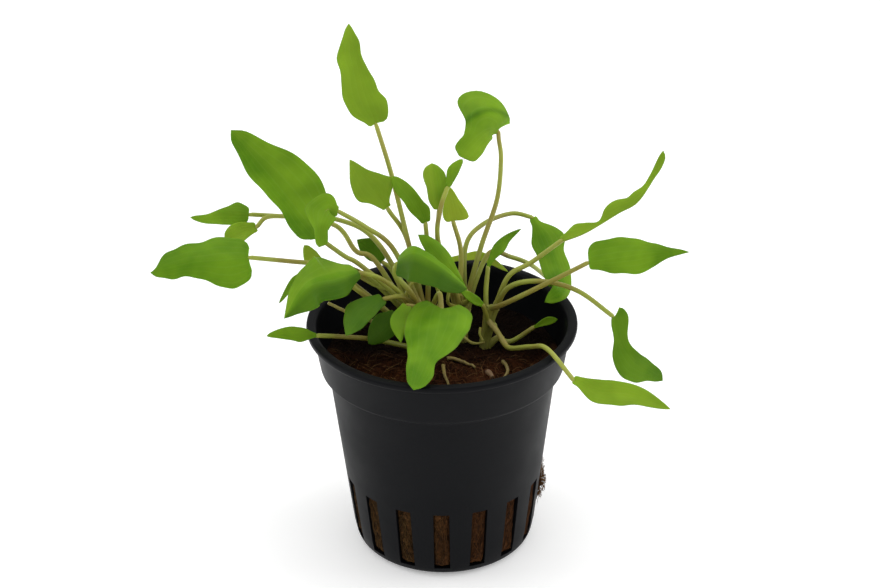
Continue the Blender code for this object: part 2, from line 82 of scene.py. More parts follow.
# slots in the pot's wall and floor; every second wall slot has a floor slot below it
SLOTS = 16
SLOT_PITCH = math.tau / SLOTS
SLOT_WIDTH = 3.2
SLOT_LOW = 2.2
SLOT_HIGH = 16.2
FIRST_SLOT = -91.8
FLOOR_SLOT_WIDTH = 2.0
FLOOR_SLOT_INNER = 6.0
FLOOR_SLOT_OUTER = 12.5
SLOT_COLUMNS = 4
BAR_COLUMNS = 8

# mineral wool: the height of its top, how far it domes, how deep it lies in a slot, and the
# sizes and depths of its lumps
WOOL_TOP = 39.3
WOOL_RISE = 0.9
WOOL_CLEAR = 0.1
# near the wall the top rises on to the pot's inner ledge, and its lumps fade by a share
LIP_FROM = 18.5
LIP_RISE = 2.2
LIP_FADE = 0.7
SLOT_DEPTH = 0.45
SLOT_BLEND = 0.5
TOP_LUMPS = ((4.0, 0.5), (1.7, 0.4), (0.8, 0.2))
SIDE_LUMPS = ((2.5, 0.35), (1.0, 0.25))
WOOL_COLUMNS = 320
TOP_ROWS = 50
SIDE_ROWS = 64
# the fine rows of the side reach this far past the slots' ends
PAST_SLOTS = 0.3
# the slot where the wool bulges past the wall, how far, at what height and over what height,
# and the wall's radius there
TUFT_SLOT = 4
TUFT_PROUD = 0.8
TUFT_HEIGHT = 11.8
TUFT_SPREAD = 3.0
TUFT_RADIUS = 19.0
# strands: how many, how long, the radii within which those on the top start and stay, the gap
# that they keep from a slot's sides, how thick, and the shares of that from end to end
TOP_STRANDS = 1900
SLOT_STRANDS = 1300
TUFT_STRANDS = 180
TOP_LENGTH = (1.5, 6.0)
SLOT_LENGTH = (2.0, 8.0)
TOP_REACH = (22.4, 23.0)
STRAND_CLEAR = 0.12
STRAND_RADIUS = (0.045, 0.085)
STRAND_TAPER = (0.5, 1.0, 1.0, 0.9, 0.35)
# the wool is rusty above the first of these heights and tan below the second, more so left
# of the first of these places in x than right of the second; its top darkens to near black
# past the second of these places in y, as painted shade behind the crowns, under the leaves
RUSTY_TO_TAN = (34.0, 20.0)
TAN_TO_RUSTY = (-6.0, 3.0)
PAINTED_SHADE_Y = (-4.0, 5.0)

# blades: grid rows and columns, and the thickness, which holds until it falls away at the
# margin and the ends by these powers
BLADE_ROWS = 54
BLADE_COLUMNS = 40
BLADE_THICK = 0.28
MARGIN_FALL = 8
END_FALL = 24
# the share of the length that rounds the base, the share of its width that the base starts
# with, the share of the length in which lobes reach back, and how softly folds and creases bend
BASE_ROUND = 0.1
BASE_SHARE = 0.5
LOBE_SHARE = 0.42
FOLD_SOFT = 0.5
CREASE_SOFT = 0.15
# the width and the strength of the painted shade along a crease
CREASE_WIDTH = 0.45
CREASE_PAINTED_SHADE = -0.5
# stalks: the radius at foot and joint, and the sheath round the foot, which laps over the stalk
# and still stands a little proud of it there
STALK_RADIUS = (0.55, 0.45)
STALK_SIDES = 14
SHEATH_RADIUS = 0.85
SHEATH_LAP = 1.2
SHEATH_PROUD = 0.04
SHEATH_RINGS = 16
# the midrib under the blade: its radius at joint and tip, how far it hangs below as a share of
# that, and the share of the blade that it runs along
RIB_RADIUS = (0.36, 0.08)
RIB_DROP = 0.9
RIB_END = 0.96
RIB_RINGS = 30
# side veins lie at even steps of the way to the margin; the blade has lumps and its margin is
# uneven; all of these fade on a blade whose half width is under FINE_FROM
VEIN_STEP = 0.27
VEINS = VEIN_STEP * np.arange(4)
VEIN_WIDTH = 0.05
VEIN_DEPTH = 0.012
LUMP_SIZE = 5.0
LUMP_HEIGHT = 0.16
MARGIN_SIZE = 5.5
MARGIN_DEPTH = 0.45
FINE_FROM = 2.0
# the tones of a blade's halves blend over this share of the way to the margin
TONE_BLEND = 0.3
MERGE = 1e-7

# each crown: its middle, its top, its radius at foot and top, and how far its foot lies off
# its middle in x
Crown = namedtuple("Crown", "x y top foot_radius top_radius lean")
CROWNS = {
    "crown_left": Crown(-3.0, 1.5, 52.5, 3.0, 1.9, 0.0),
    "crown_back": Crown(4.0, 8.5, 51.5, 2.2, 1.5, 0.0),
    "crown_right": Crown(9.5, 5.5, 50.5, 2.4, 1.5, -1.2),
}
CROWN_FOOT = 40.6
# a stalk starts at this share of its crown's radius
STALK_REACH = 0.8

# A leaf leaves its crown at a compass angle in degrees and a height. Its stalk and midrib pass
# through points; the midrib's first point is the joint. "face" is the way the upper side
# looks. "left" and "right" are half widths at evenly spaced places, seen from above with the
# tip away. "lobe" is how far the base's corners reach back, for both or for left and right.
# "fold" lifts the left and right halves by degrees, "cup" bends the margins up. "wave" is a
# ripple's height and count along the margin. "yellow" is how yellow the leaf or its left and
# right halves are, partly the leaf's own yellowing and partly a painted glow of light through
# the blade, and below 0 how dark, as painted shade where the leaf lies in shadow. "crease" is
# a distance from the midrib past which the right half is bent by degrees, with painted shade
# along the bend.
Leaf = namedtuple(
    "Leaf",
    "name crown angle height petiole midrib face left right lobe fold cup wave yellow crease",
    defaults=((0, 0), 0.0, (0.0, 0.0), 0.0, (99.0, 0)),
)
LEAVES = (
    Leaf("leaf_tall", "crown_left", 112, 51.0,
         [(-6.5, 6, 64), (-9.5, 10, 76.5)],
         [(-12.5, 14, 86), (-14.5, 16, 91), (-16, 18.5, 97), (-17.5, 22, 104)],
         (0.1, -0.85, 0.5), (2.4, 3.8, 4.6, 4.2, 3.6, 3.8, 2.6, 1.2),
         (3.2, 3.8, 2.9, 2.4, 1.7, 1.4, 1.2, 0.6), 0.2,
         fold=(8, 12), cup=0.02, wave=(0.35, 2.5), yellow=0.3),
    Leaf("leaf_big_left", "crown_left", 183, 50.0,
         [(-15.5, 2, 60.5), (-19, 1, 63.5)],
         [(-23.7, 1.4, 67.2), (-28, 6, 71), (-34, 10, 77.5), (-41, 13, 85.5)],
         (-0.2, -0.8, 0.55), (3.5, 3.4, 2.6, 2.8, 3.2, 2.5, 1.6),
         (4.6, 6.6, 7.4, 7.2, 5.9, 3.9, 2.1), (-1.5, 0.0),
         fold=(6, 10), cup=-0.02, wave=(0.3, 2.0), yellow=(0.0, 0.1)),
    Leaf("leaf_left_front", "crown_left", 158, 52.0,
         [(-9.5, 4, 63.5), (-15, 3, 69)],
         [(-19.9, 1, 73.3), (-22, 0, 74.1), (-23.2, -2, 72), (-23.6, -4, 68)],
         (-0.3, -0.85, 0.4), (1.4, 2.2, 2.3, 2.1, 1.8, 1.7, 1.4), (1.4, 3.4, 4.4, 3.0, 1.6, 1.2, 0.8),
         0.1, fold=(-10, -12), wave=(0.2, 2.0), yellow=0.1),
    Leaf("leaf_left_upper", "crown_left", 140, 48.5,
         [(-12.5, 10, 61.5), (-20.5, 14, 65), (-32, 15, 65.5)],
         [(-38.5, 14, 66.5), (-43.5, 14, 67), (-47, 14.5, 66), (-50.5, 15, 65.5)],
         (-0.1, -0.75, 0.65), (2.0, 2.5, 2.6, 2.4, 1.9, 1.4, 0.7), (2.0, 2.5, 1.5, 0.8, 0.5, 0.4, 0.3),
         0.0, fold=(-10, -14), wave=(0.1, 2.0), yellow=0.1),
    Leaf("leaf_left_folded", "crown_left", 155, 46.0,
         [(-13, 7, 59), (-17, 8, 61), (-21.5, 11, 65.5), (-33.5, 12, 67)],
         [(-37, 11, 65), (-39.5, 10, 64.5), (-43, 8, 63.5)],
         (-0.1, -0.85, 0.5), (1.2, 1.7, 1.9, 1.7, 1.0), (1.2, 1.8, 2.3, 2.2, 1.4), 0.2,
         fold=(14, 10), wave=(0.15, 2.0), yellow=0.35),
    Leaf("leaf_left_long", "crown_left", 172, 47.5,
         [(-15, 3, 58), (-22, 0, 62), (-29.5, -1, 63.5)],
         [(-37.5, -2, 65), (-43, -3, 65), (-48.5, -4, 65), (-56.5, -5, 63.5)],
         (-0.1, -0.75, 0.65), (4.8, 5.7, 4.9, 3.7, 3.0, 2.2, 2.3, 1.4),
         (4.4, 4.9, 4.8, 4.4, 4.1, 3.9, 3.3, 0.7), 0.4,
         fold=(-6, -10), cup=-0.02, wave=(0.2, 2.5), yellow=-0.1),
    Leaf("leaf_left_low", "crown_left", 205, 48.5,
         [(-8, -0.5, 55.5), (-12, -2, 60)],
         [(-16, -4, 62.5), (-20.5, -9, 63.5), (-25.5, -13, 64), (-30, -17, 59.5)],
         (-0.25, -0.7, 0.65), (1.8, 3.6, 3.9, 4.2, 4.2, 3.5, 1.4), (3.6, 6.6, 6.6, 5.0, 3.6, 2.4, 0.9),
         0.0, fold=(-38, -10), wave=(0.25, 2.0), yellow=(-0.6, 0.15)),
    Leaf("leaf_left_thin", "crown_left", 190, 45.5,
         [(-18, -2.5, 59), (-23, -4, 63)],
         [(-26.5, -6, 63.5), (-29, -7.5, 61.5), (-31.5, -9, 58.5)],
         (-0.3, -0.8, 0.5), (0.8, 1.0, 0.9, 0.6, 0.3), (0.8, 1.1, 0.9, 0.6, 0.3), 0.0,
         fold=(20, 20), yellow=0.1),
    Leaf("leaf_left_lowest", "crown_left", 205, 42.5,
         [(-8.5, -2, 45), (-14, -4, 47.5), (-19.5, -6.5, 49.5)],
         [(-24.5, -8.5, 51), (-28.5, -10, 52), (-34, -12, 53)],
         (-0.1, -0.7, 0.7), (0.6, 1.2, 1.6, 1.3, 1.0, 0.6, 0.3), (0.7, 1.3, 1.5, 1.6, 1.5, 1.2, 0.6), 0.0,
         fold=(12, 8), wave=(0.12, 2.0), yellow=0.1),
    Leaf("leaf_left_small", "crown_left", 222, 50.5,
         [(-7.5, -2.5, 56)],
         [(-11.5, -4, 56.5), (-14.5, -8, 56), (-18.5, -15, 54.5)],
         (-0.1, -0.85, 0.5), (1.2, 1.6, 1.7, 1.5, 0.8), (1.8, 3.2, 3.7, 2.9, 1.1), 0.3,
         fold=(-15, -10), wave=(0.2, 2.0), yellow=-0.6),
    Leaf("leaf_front", "crown_left", 290, 51.0,
         [(-0.5, -3, 57)],
         [(0, -9, 57), (-1, -16, 55.5), (-3, -22.5, 53), (-5.5, -29, 50.5)],
         (0, -0.7, 0.7), (6.2, 5.9, 4.9, 3.4, 2.0, 2.2, 1.4), (6.4, 6.6, 6.0, 4.9, 4.0, 3.2, 1.9), 2.4,
         fold=(-4, -6), cup=-0.03, wave=(0.3, 2.5), yellow=0.0),
    Leaf("leaf_front_left", "crown_left", 265, 47.0,
         [(-4.5, -4, 54)],
         [(-7, -5, 55.6), (-8.5, -9, 54), (-8, -12.5, 51.3)],
         (-0.1, -0.85, 0.5), (1.4, 1.8, 1.8, 1.4, 0.6), (1.0, 1.6, 1.6, 1.2, 0.4), 0.3,
         fold=(-8, -8), wave=(0.15, 2.0), yellow=0.1),
    Leaf("leaf_centre", "crown_left", 245, 50.5,
         [(-6, -2.5, 57), (-9, -3, 61.5)],
         [(-8.5, -4, 64.5), (-5, -7, 67.5), (0, -8, 65), (5, -7, 60)],
         (0.1, -0.6, 0.8), (2.6, 2.7, 2.1, 1.7, 1.2, 0.8, 0.5), (3.6, 5.0, 5.2, 4.6, 4.0, 3.2, 1.8),
         0.5, fold=(-16, -14), wave=(0.25, 2.0), yellow=(0.0, -0.75)),
    Leaf("leaf_centre_back", "crown_back", 290, 49.0,
         [(5.5, 4, 52)],
         [(4.5, 3, 55), (1.5, 2, 61), (-1.5, 2, 65), (-4.5, 3, 67)],
         (0.3, -0.8, 0.5), (1.4, 2.5, 2.8, 2.5, 1.1), (0.6, 0.9, 1.3, 1.3, 0.9), 0.2,
         fold=(-10, -10), wave=(0.2, 2.0), yellow=0.05),
    Leaf("leaf_kite", "crown_left", 125, 47.0,
         [(-6.5, 8, 62.5)],
         [(-10.5, 6, 71.5), (-14, 5.5, 77), (-17.5, 5, 82.5)],
         (-0.1, -0.9, 0.4), (1.2, 2.2, 3.5, 3.6, 2.9, 1.8, 0.7), (1.4, 3.0, 4.3, 3.4, 2.2, 1.3, 0.5),
         0.1, fold=(8, 8), wave=(0.1, 1.5), yellow=0.35),
    Leaf("leaf_oblong", "crown_left", 85, 50.0,
         [(-2.5, 5, 60)],
         [(-3, 5.5, 68.4), (-4.1, 5.5, 71.4), (-6, 5, 75), (-9.3, 4.5, 79)],
         (-0.1, -0.9, 0.4), (1.0, 1.6, 1.9, 1.9, 1.9, 1.7, 0.9), (1.4, 1.9, 1.5, 1.3, 1.2, 1.1, 0.7),
         0.1, fold=(8, 8), wave=(0.1, 2.0), yellow=0.1),
    Leaf("leaf_upper_middle", "crown_back", 175, 49.0,
         [(-0.5, 9, 61.5)],
         [(-0.3, 7.5, 70.3), (-1, 9, 73.5), (-1.6, 12.5, 78)],
         (0, -0.9, 0.4), (1.2, 1.5, 1.5, 1.6, 2.0, 2.0, 1.2), (1.2, 2.0, 2.3, 2.6, 2.5, 2.1, 1.1), 0.0,
         fold=(10, 10), wave=(0.1, 2.0), yellow=(0.4, 0.2)),
    Leaf("leaf_narrow", "crown_back", 225, 50.5,
         [(-0.5, 5.5, 64), (0, 6, 71)],
         [(1.5, 8, 75), (3, 9.5, 77.5), (4.5, 11, 79.5)],
         (-0.4, -0.8, 0.4), (0.6, 1.2, 1.6, 1.5, 0.8), (0.7, 0.9, 1.0, 0.8, 0.5), 0.0,
         fold=(10, 20), yellow=0.1),
    Leaf("leaf_top_folded", "crown_back", 20, 50.0,
         [(8.2, 11.3, 60.3), (11.4, 15.5, 68.3), (12.3, 18.5, 75.7), (11.9, 20, 79.6)],
         [(11.8, 20.5, 81.3), (9.9, 19, 82.4), (6.9, 16.5, 81.5), (3.8, 13.5, 79)],
         (0.1, -0.9, 0.4), (1.0, 2.2, 2.6, 3.0, 3.4, 3.4, 2.8), (4.2, 8.0, 7.8, 3.8, 2.1, 2.1, 1.6),
         (0.3, 3.0), fold=(4, -6), wave=(0.1, 2.0), yellow=(0.2, 0.1), crease=(3.6, -38)),
    Leaf("leaf_yellow", "crown_back", 100, 51.0,
         [(4, 11.5, 59)],
         [(2.5, 12, 65.4), (2.1, 13, 68.5), (2, 14, 72)],
         (0, -0.9, 0.4), (1.6, 1.9, 1.9, 1.6, 1.3, 0.8, 0.4), (3.3, 3.1, 2.7, 2.3, 1.8, 1.2, 0.5), 0.1,
         fold=(6, 6), wave=(0.1, 2.0), yellow=0.9),
    Leaf("leaf_dark_narrow", "crown_right", 110, 47.0,
         [(9, 9, 51)],
         [(9.5, 11, 55.5), (11, 13, 58), (13, 15, 59.5), (16.5, 17, 61)],
         (0.2, -0.8, 0.5), (0.6, 0.9, 0.9, 0.8, 0.4), (0.6, 1.2, 1.4, 0.9, 0.3), 0.0,
         fold=(18, 14), wave=(0.05, 2.0), yellow=-0.1),
    Leaf("leaf_arched", "crown_back", 60, 48.5,
         [(5, 14, 58.5), (8.5, 18, 61.5), (14.5, 22, 62)],
         [(19, 21, 61.5), (21.5, 17, 58.5), (24, 10, 54), (24.5, 4, 53), (20.5, 2, 52)],
         (0.2, -0.9, 0.4), (1.2, 4.1, 2.8, 2.6, 1.9, 1.2, 0.9), (1.4, 3.4, 2.9, 3.1, 3.0, 3.4, 1.8),
         0.1, fold=(-8, -10), wave=(0.1, 2.5), yellow=(0.1, -0.1)),
    Leaf("leaf_right_wavy", "crown_right", 350, 49.5,
         [(13.5, 5, 56.5), (18, 5, 59.5)],
         [(24, 4, 64.9), (28.6, 3.5, 67), (35, 5, 70.3), (38.8, 6, 72.3), (42.3, 9, 76.6), (44, 11, 80.8)],
         (0, -0.6, 0.8), (1.4, 2.4, 1.7, 0.6, 2.1, 2.6, 2.0, 1.8, 0.9, 0.8, 0.7, 0.4),
         (0.5, 0.4, 0.3, 0.3, 0.3, 0.3, 0.3, 0.3, 0.3, 0.4, 0.8, 0.9), 0.3,
         fold=(10, 30), wave=(0.1, 2.5), yellow=0.3),
    Leaf("leaf_right_pointed", "crown_right", 285, 49.5,
         [(12.6, 1.2, 52.3), (20.5, -2, 58.3)],
         [(28.5, -6, 65), (34.5, -7, 66.5), (41, -9, 68.5), (47.5, -10, 69)],
         (0.1, -0.75, 0.65), (4.0, 4.1, 4.0, 3.3, 2.1, 1.1, 0.5), (1.7, 2.8, 3.4, 3.7, 2.7, 1.2, 0.4),
         0.0, fold=(-8, -8), wave=(0.12, 2.0), yellow=0.05),
    Leaf("leaf_right_hanging", "crown_right", 322, 48.3,
         [(13.3, 3.5, 54.6), (19.3, 0.5, 57.6), (26.5, -4, 57.8)],
         [(33.5, -8, 54), (34.5, -10, 50), (37.5, -11, 45.5), (43.5, -9, 40)],
         (0.3, -0.9, 0.3), (3.0, 2.4, 1.7, 1.8, 2.1, 2.0, 1.1), (0.8, 0.9, 2.8, 4.0, 3.4, 2.0, 0.8), (1.6, 0),
         fold=(14, 10), wave=(0.1, 2.0), yellow=-0.35),
    Leaf("leaf_right_low", "crown_right", 300, 46.0,
         [(11.2, 0.8, 45.9), (13.2, -3, 44.6), (17.2, -9, 48.1), (20.3, -14.4, 50.6)],
         [(25, -22, 48), (30, -23, 46), (35.5, -24, 46), (43.5, -24, 42.5)],
         (0.1, -0.75, 0.65), (1.3, 2.1, 2.4, 2.1, 1.9, 1.4, 0.6), (1.0, 2.4, 2.6, 2.7, 1.8, 1.2, 0.5),
         0.2, fold=(12, 10), wave=(0.1, 2.5), yellow=0.3),
    Leaf("leaf_young", "crown_right", 0, 42.0,
         [(14, 5, 41.5)],
         [(18.6, 5.5, 44.4), (21.2, 5, 46), (23.3, 4, 47)],
         (0, -0.9, 0.4), (0.4, 0.7, 0.9, 0.9, 0.5), (0.4, 0.6, 0.8, 0.8, 0.5), 0.0,
         fold=(20, 20), yellow=0.1),
    Leaf("leaf_inner_left", "crown_left", 130, 44.5,
         [(-9.5, 11, 54)],
         [(-12, 12, 56.5), (-14.5, 13, 58.5), (-17, 14, 60.5)],
         (-0.1, -0.85, 0.5), (0.9, 1.5, 1.5, 1.2, 0.5), (1.4, 2.3, 2.8, 2.3, 0.9), 0.2,
         fold=(10, 10), wave=(0.1, 2.0), yellow=-0.4),
    Leaf("leaf_inner_yellow", "crown_left", 172, 44.0,
         [(-12, 3, 51), (-19, 3, 57.5)],
         [(-23.5, 2.5, 61), (-25.5, 3, 62.5), (-27, 4, 64.5)],
         (0, -0.9, 0.4), (1.2, 2.0, 1.8, 1.2, 0.6), (0.8, 1.2, 1.4, 1.2, 0.7), 0.2,
         fold=(8, 8), wave=(0.1, 2.0), yellow=0.6),
    Leaf("leaf_back_yellow", "crown_back", 130, 46.0,
         [(1.5, 13, 52)],
         [(1.8, 15, 55.1), (5.3, 16, 55.2), (8.6, 17, 54.6), (13.8, 18, 50.6)],
         (0, -0.7, 0.7), (0.7, 0.8, 0.9, 0.9, 0.5), (0.7, 0.8, 0.9, 0.8, 0.4), 0.0,
         fold=(8, 8), wave=(0.1, 2.0), yellow=0.8),
    Leaf("leaf_inner_low", "crown_left", 228, 44.5,
         [(-7, -3, 52)],
         [(-9, -3.5, 52.5), (-11.5, -5, 50.5), (-14.5, -6, 47.5)],
         (0, -0.9, 0.4), (1.6, 2.4, 2.4, 2.0, 1.0), (1.6, 2.4, 2.4, 2.0, 1.0), 0.3,
         fold=(-8, -8), wave=(0.15, 2.0), yellow=-0.7),
    Leaf("leaf_back_right", "crown_back", 40, 45.5,
         [(6.9, 11.8, 51.5), (10, 15.9, 56.2), (14.2, 19, 53.6), (18.6, 20.8, 50.7)],
         [(23.5, 26.5, 43.5), (25, 29, 40.5), (26.5, 32, 37.5)],
         (0, -0.8, 0.6), (0.7, 1.1, 1.1, 0.9, 0.2), (0.7, 1.1, 1.1, 0.9, 0.2), 0.0,
         fold=(8, 8), wave=(0.1, 2.0), yellow=0.1),
    Leaf("leaf_small_centre", "crown_right", 255, 46.5,
         [(8.9, 2.6, 49)],
         [(8.2, 2, 51.6), (6, 1, 53.7), (3.6, -0.3, 56.2)],
         (0.1, -0.8, 0.6), (0.6, 0.9, 0.9, 0.7, 0.3), (0.6, 1.0, 1.0, 0.8, 0.3), 0.0,
         fold=(10, 10), wave=(0.1, 2.0), yellow=0.05),
)

# bare roots that stand for the model's own: their points from above
ROOTS = {
    "root_middle": [(1, -1.2), (2.5, -0.8), (4.5, -1.7), (6.5, -4.3)],
    "root_left": [(0.1, -3.2), (0.5, -7.5), (1.2, -10.6)],
    "root_right": [(12.1, -1.8), (13, -4.4), (12.4, -7), (11.2, -8.2)],
}
# a root's radius, the share of it at the tip, and how far the root lies above the wool
ROOT_RADIUS = 0.4
ROOT_TIP = 0.55
ROOT_LIFT = 0.25
ROOT_RINGS = 28
# the share of a fine root's or a stalk end's radius at its tip
TWIG_TIP = 0.6
TWIG_RINGS = 20
# finer roots, a lump of root, and the stubs of old leaf stalks: radius, tone and points
ROOTLETS = (
    (0.36, 0.8, [(4.2, 6.3, 42.2), (5.6, 5.2, 41.4), (7, 4.6, 41.3), (8.6, 3.8, 42)]),
    (0.7, 0.0, [(9, -5, 40.1), (9.4, -6, 40.4), (9.9, -7, 40.1)]),
    # a pale shoot on the front of crown_right: its palest tone stands in part for a painted highlight on the
    # crown
    (0.32, 1.0, [(7.8, 3.2, 45.8), (7.6, 2.6, 44.6), (8.2, 2.2, 43.4)]),
    (0.62, 0.5, [(9.4, 3.2, 47.2), (11.2, 0.8, 45.9), (12.3, -1.2, 45.1), (13, -2.6, 44.6)]),
    (0.5, 0.6, [(-8.5, 1.4, 46), (-14, 0.6, 49), (-18.8, 0, 51.5), (-22.5, 0, 53.6)]),
)
# green stalk ends that stand among the leaves' stalks: radius, tone and points
STUBS = (
    (0.52, 0.2, [(-5.2, 1, 50.5), (-7.2, 0, 54), (-6.2, -0.2, 57), (-4.8, 0, 59.2)]),
    (0.5, 0.3, [(-2, 0.6, 50.5), (-0.3, 2, 52.2), (-0.9, 2, 55.8), (-1.6, 2.2, 58.5)]),
    (0.45, 0.2, [(3.4, 6.6, 48.5), (1.3, 2.2, 52.1), (1.7, 2, 55.8), (2.2, 2.4, 58.5)]),
    (0.6, 0.1, [(-4.5, 1.5, 50), (-9.2, 2, 54.8), (-13.2, 3, 55.9), (-17.7, 4, 58.4)]),
)

# studio, in metres and watts: each soft box's place, size and power, and where they all face
FLOOR_SIZE = 3.0
FLOOR_Z = -0.05
# the surround's strength toward the plant's front and back, and the paper's own glow
SURROUND = (0.8, 0.62)
PAPER_GLOW = 0.25
SOFT_BOXES = {
    "top box": ((0.05, 0.15, 1.1), 0.9, 3.7),
    "left box": ((-0.9, 0.1, 0.6), 0.6, 1.8),
    "right box": ((0.95, 0.1, 0.5), 0.6, 3.0),
}
LIGHT_AIM = (0.0, 0.0, 0.05)


# Shapes

def curve_through(points, steps=24):
    """A dense Catmull-Rom curve: each piece is a cubic through two points that leaves each
    one in the direction of its neighbours' chord."""
    knots = np.array(points, dtype=float)
    ends = np.vstack([2 * knots[0] - knots[1], knots, 2 * knots[-1] - knots[-2]])
    t = np.linspace(0.0, 1.0, steps, endpoint=False)[None, :, None]
    a, b, c, d = (ends[i:len(ends) - 3 + i, None, :] for i in range(4))
    pieces = 0.5 * (2 * b + (c - a) * t + (2 * a - 5 * b + 4 * c - d) * t ** 2
                    + (3 * b - a - 3 * c + d) * t ** 3)
    return np.vstack([pieces.reshape(-1, knots.shape[1]), knots[-1:]])


def along_curve(points, shares):
    """Points at the given shares of the length of the smooth curve through the points."""
    dense = curve_through(points)
    run = np.concatenate([[0.0], np.cumsum(np.linalg.norm(np.diff(dense, axis=0), axis=1))])
    where = np.asarray(shares) * run[-1]
    return np.stack([np.interp(where, run, dense[:, axis]) for axis in range(3)], axis=1)


def unit(vectors):
    """Vectors at length one."""
    return vectors / np.maximum(np.linalg.norm(vectors, axis=-1, keepdims=True), 1e-12)


def smooth(share):
    """A share from 0 to 1 that starts and ends gently: s squared times (3 - 2 s)."""
    return share ** 2 * (3 - 2 * share)


def turned(radius, angle, height):
    """Points about the Z axis: (r cos a, r sin a, z)."""
    return np.stack(np.broadcast_arrays(radius * np.cos(angle), radius * np.sin(angle), height),
                    axis=-1)


def directions(paths, face):
    """Along, across and upward unit vectors at each point of one or many paths: along is the
    path's slope, up is the face direction made square to it, across is their product."""
    along = unit(np.gradient(paths, axis=-2))
    up = unit(face - np.sum(along * face, axis=-1, keepdims=True) * along)
    return along, np.cross(along, up), up


def grid_faces(rows, columns, closed=False):
    """Four-sided faces of a grid of points numbered row by row; closed joins the last column
    to the first."""
    number = np.arange(rows * columns).reshape(rows, columns)
    if closed:
        number = np.hstack([number, number[:, :1]])
    return np.stack([number[:-1, :-1], number[:-1, 1:], number[1:, 1:], number[1:, :-1]],
                    axis=-1).reshape(-1, 4)


def ripple(points, size, seed):
    """Soft lumps of a size: the mean of eight sine waves of random directions and phases,
    each with a wavelength near the size."""
    draw = np.random.default_rng(seed)
    waves = unit(draw.normal(size=(8, 3))) * math.tau / (size * draw.uniform(0.7, 1.4, (8, 1)))
    return np.sin(points @ waves.T + draw.uniform(0, math.tau, 8)).mean(axis=-1)


# A part of a piece: its points in millimetres, its faces, which of the piece's materials it
# has, where each point lies on the surface (across and along), and a tone from 0 to 1.
Part = namedtuple("Part", "points faces finish place tone")


def tubes(paths, radii, sides, face, finish=0, tone=0.0):
    """A round ring carried along each path: point = path + radius * (cos a * across + sin a *
    up). Both ends are drawn in to a point, so each tube is closed. Paths are (tubes, rings,
    3), and radii (tubes, rings)."""
    _, across, up = directions(paths, face)
    turn = np.linspace(0.0, math.tau, sides, endpoint=False)
    ring = np.cos(turn)[:, None] * across[:, :, None] + np.sin(turn)[:, None] * up[:, :, None]
    body = paths[:, :, None] + radii[:, :, None, None] * ring
    ends = np.broadcast_to(paths[:, :, None], body.shape)
    points = np.concatenate([ends[:, :1], body, ends[:, -1:]], axis=1)
    tube_count, rings = points.shape[:2]
    faces = grid_faces(rings, sides, closed=True)
    faces = (faces[None] + rings * sides * np.arange(tube_count)[:, None, None]).reshape(-1, 4)
    place = np.stack(np.broadcast_arrays(turn / math.tau, np.linspace(0, 1, rings)[:, None]),
                     axis=-1)
    place = np.broadcast_to(place, (tube_count, rings, sides, 2)).reshape(-1, 2)
    tone = np.broadcast_to(np.reshape(tone, (-1, 1)), (tube_count, rings * sides)).ravel()
    return Part(points.reshape(-1, 3), faces, finish, place, tone)


def make_piece(name, parts, finishes, replaced=(), sharp=50):
    """Join parts into one mesh object on the root body: merge the doubled points of seams and
    poles, turn the faces out, and shade smooth between sharp edges. The piece stands for the
    CAD nodes that it replaces."""
    starts = np.cumsum([0] + [len(part.points) for part in parts[:-1]])
    faces = np.vstack([part.faces + start for part, start in zip(parts, starts)])
    mesh = bpy.data.meshes.new(name)
    mesh.from_pydata(np.vstack([part.points for part in parts]) * MM, [], faces.tolist())
    numbers = np.concatenate([np.full(len(part.faces), part.finish) for part in parts])
    mesh.polygons.foreach_set("material_index", numbers.astype(np.int32))
    corners = np.zeros(len(mesh.loops), np.int32)
    mesh.loops.foreach_get("vertex_index", corners)
    place = np.vstack([part.place for part in parts])
    mesh.uv_layers.new(name="surface").data.foreach_set("uv", place[corners].ravel())
    tone = mesh.attributes.new("tone", "FLOAT", "POINT")
    tone.data.foreach_set("value", np.concatenate([part.tone for part in parts]).astype(np.float32))
    bm = bmesh.new()
    bm.from_mesh(mesh)
    bmesh.ops.remove_doubles(bm, verts=bm.verts, dist=MERGE)
    bmesh.ops.recalc_face_normals(bm, faces=bm.faces)
    bm.to_mesh(mesh)
    bm.free()
    mesh.shade_smooth()
    mesh.set_sharp_from_angle(angle=math.radians(sharp))
    for finish in finishes:
        mesh.materials.append(finish)
    item = bpy.data.objects.new(name, mesh)
    bpy.context.scene.collection.objects.link(item)
    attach(item, "root")
    if replaced:
        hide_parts(*replaced)
    return item


# Leaves and crowns

def half_widths(widths, shares):
    """A smooth curve through evenly spaced half widths, drawn to a point at the tip, and
    narrowed at the base as a quarter circle so that the base's corners are round."""
    count = len(widths)
    knots = [(0.0, widths[0])]
    knots += [((i + 0.5) / count, width) for i, width in enumerate(widths)]
    curve = curve_through(knots + [(1.0, 0.0)])
    width = np.maximum(np.interp(shares, curve[:, 0], curve[:, 1]), 0.0)
    near = np.clip(1 - shares / BASE_ROUND, 0.0, 1.0)
    return width * (BASE_SHARE + (1 - BASE_SHARE) * np.sqrt(1 - near ** 2))


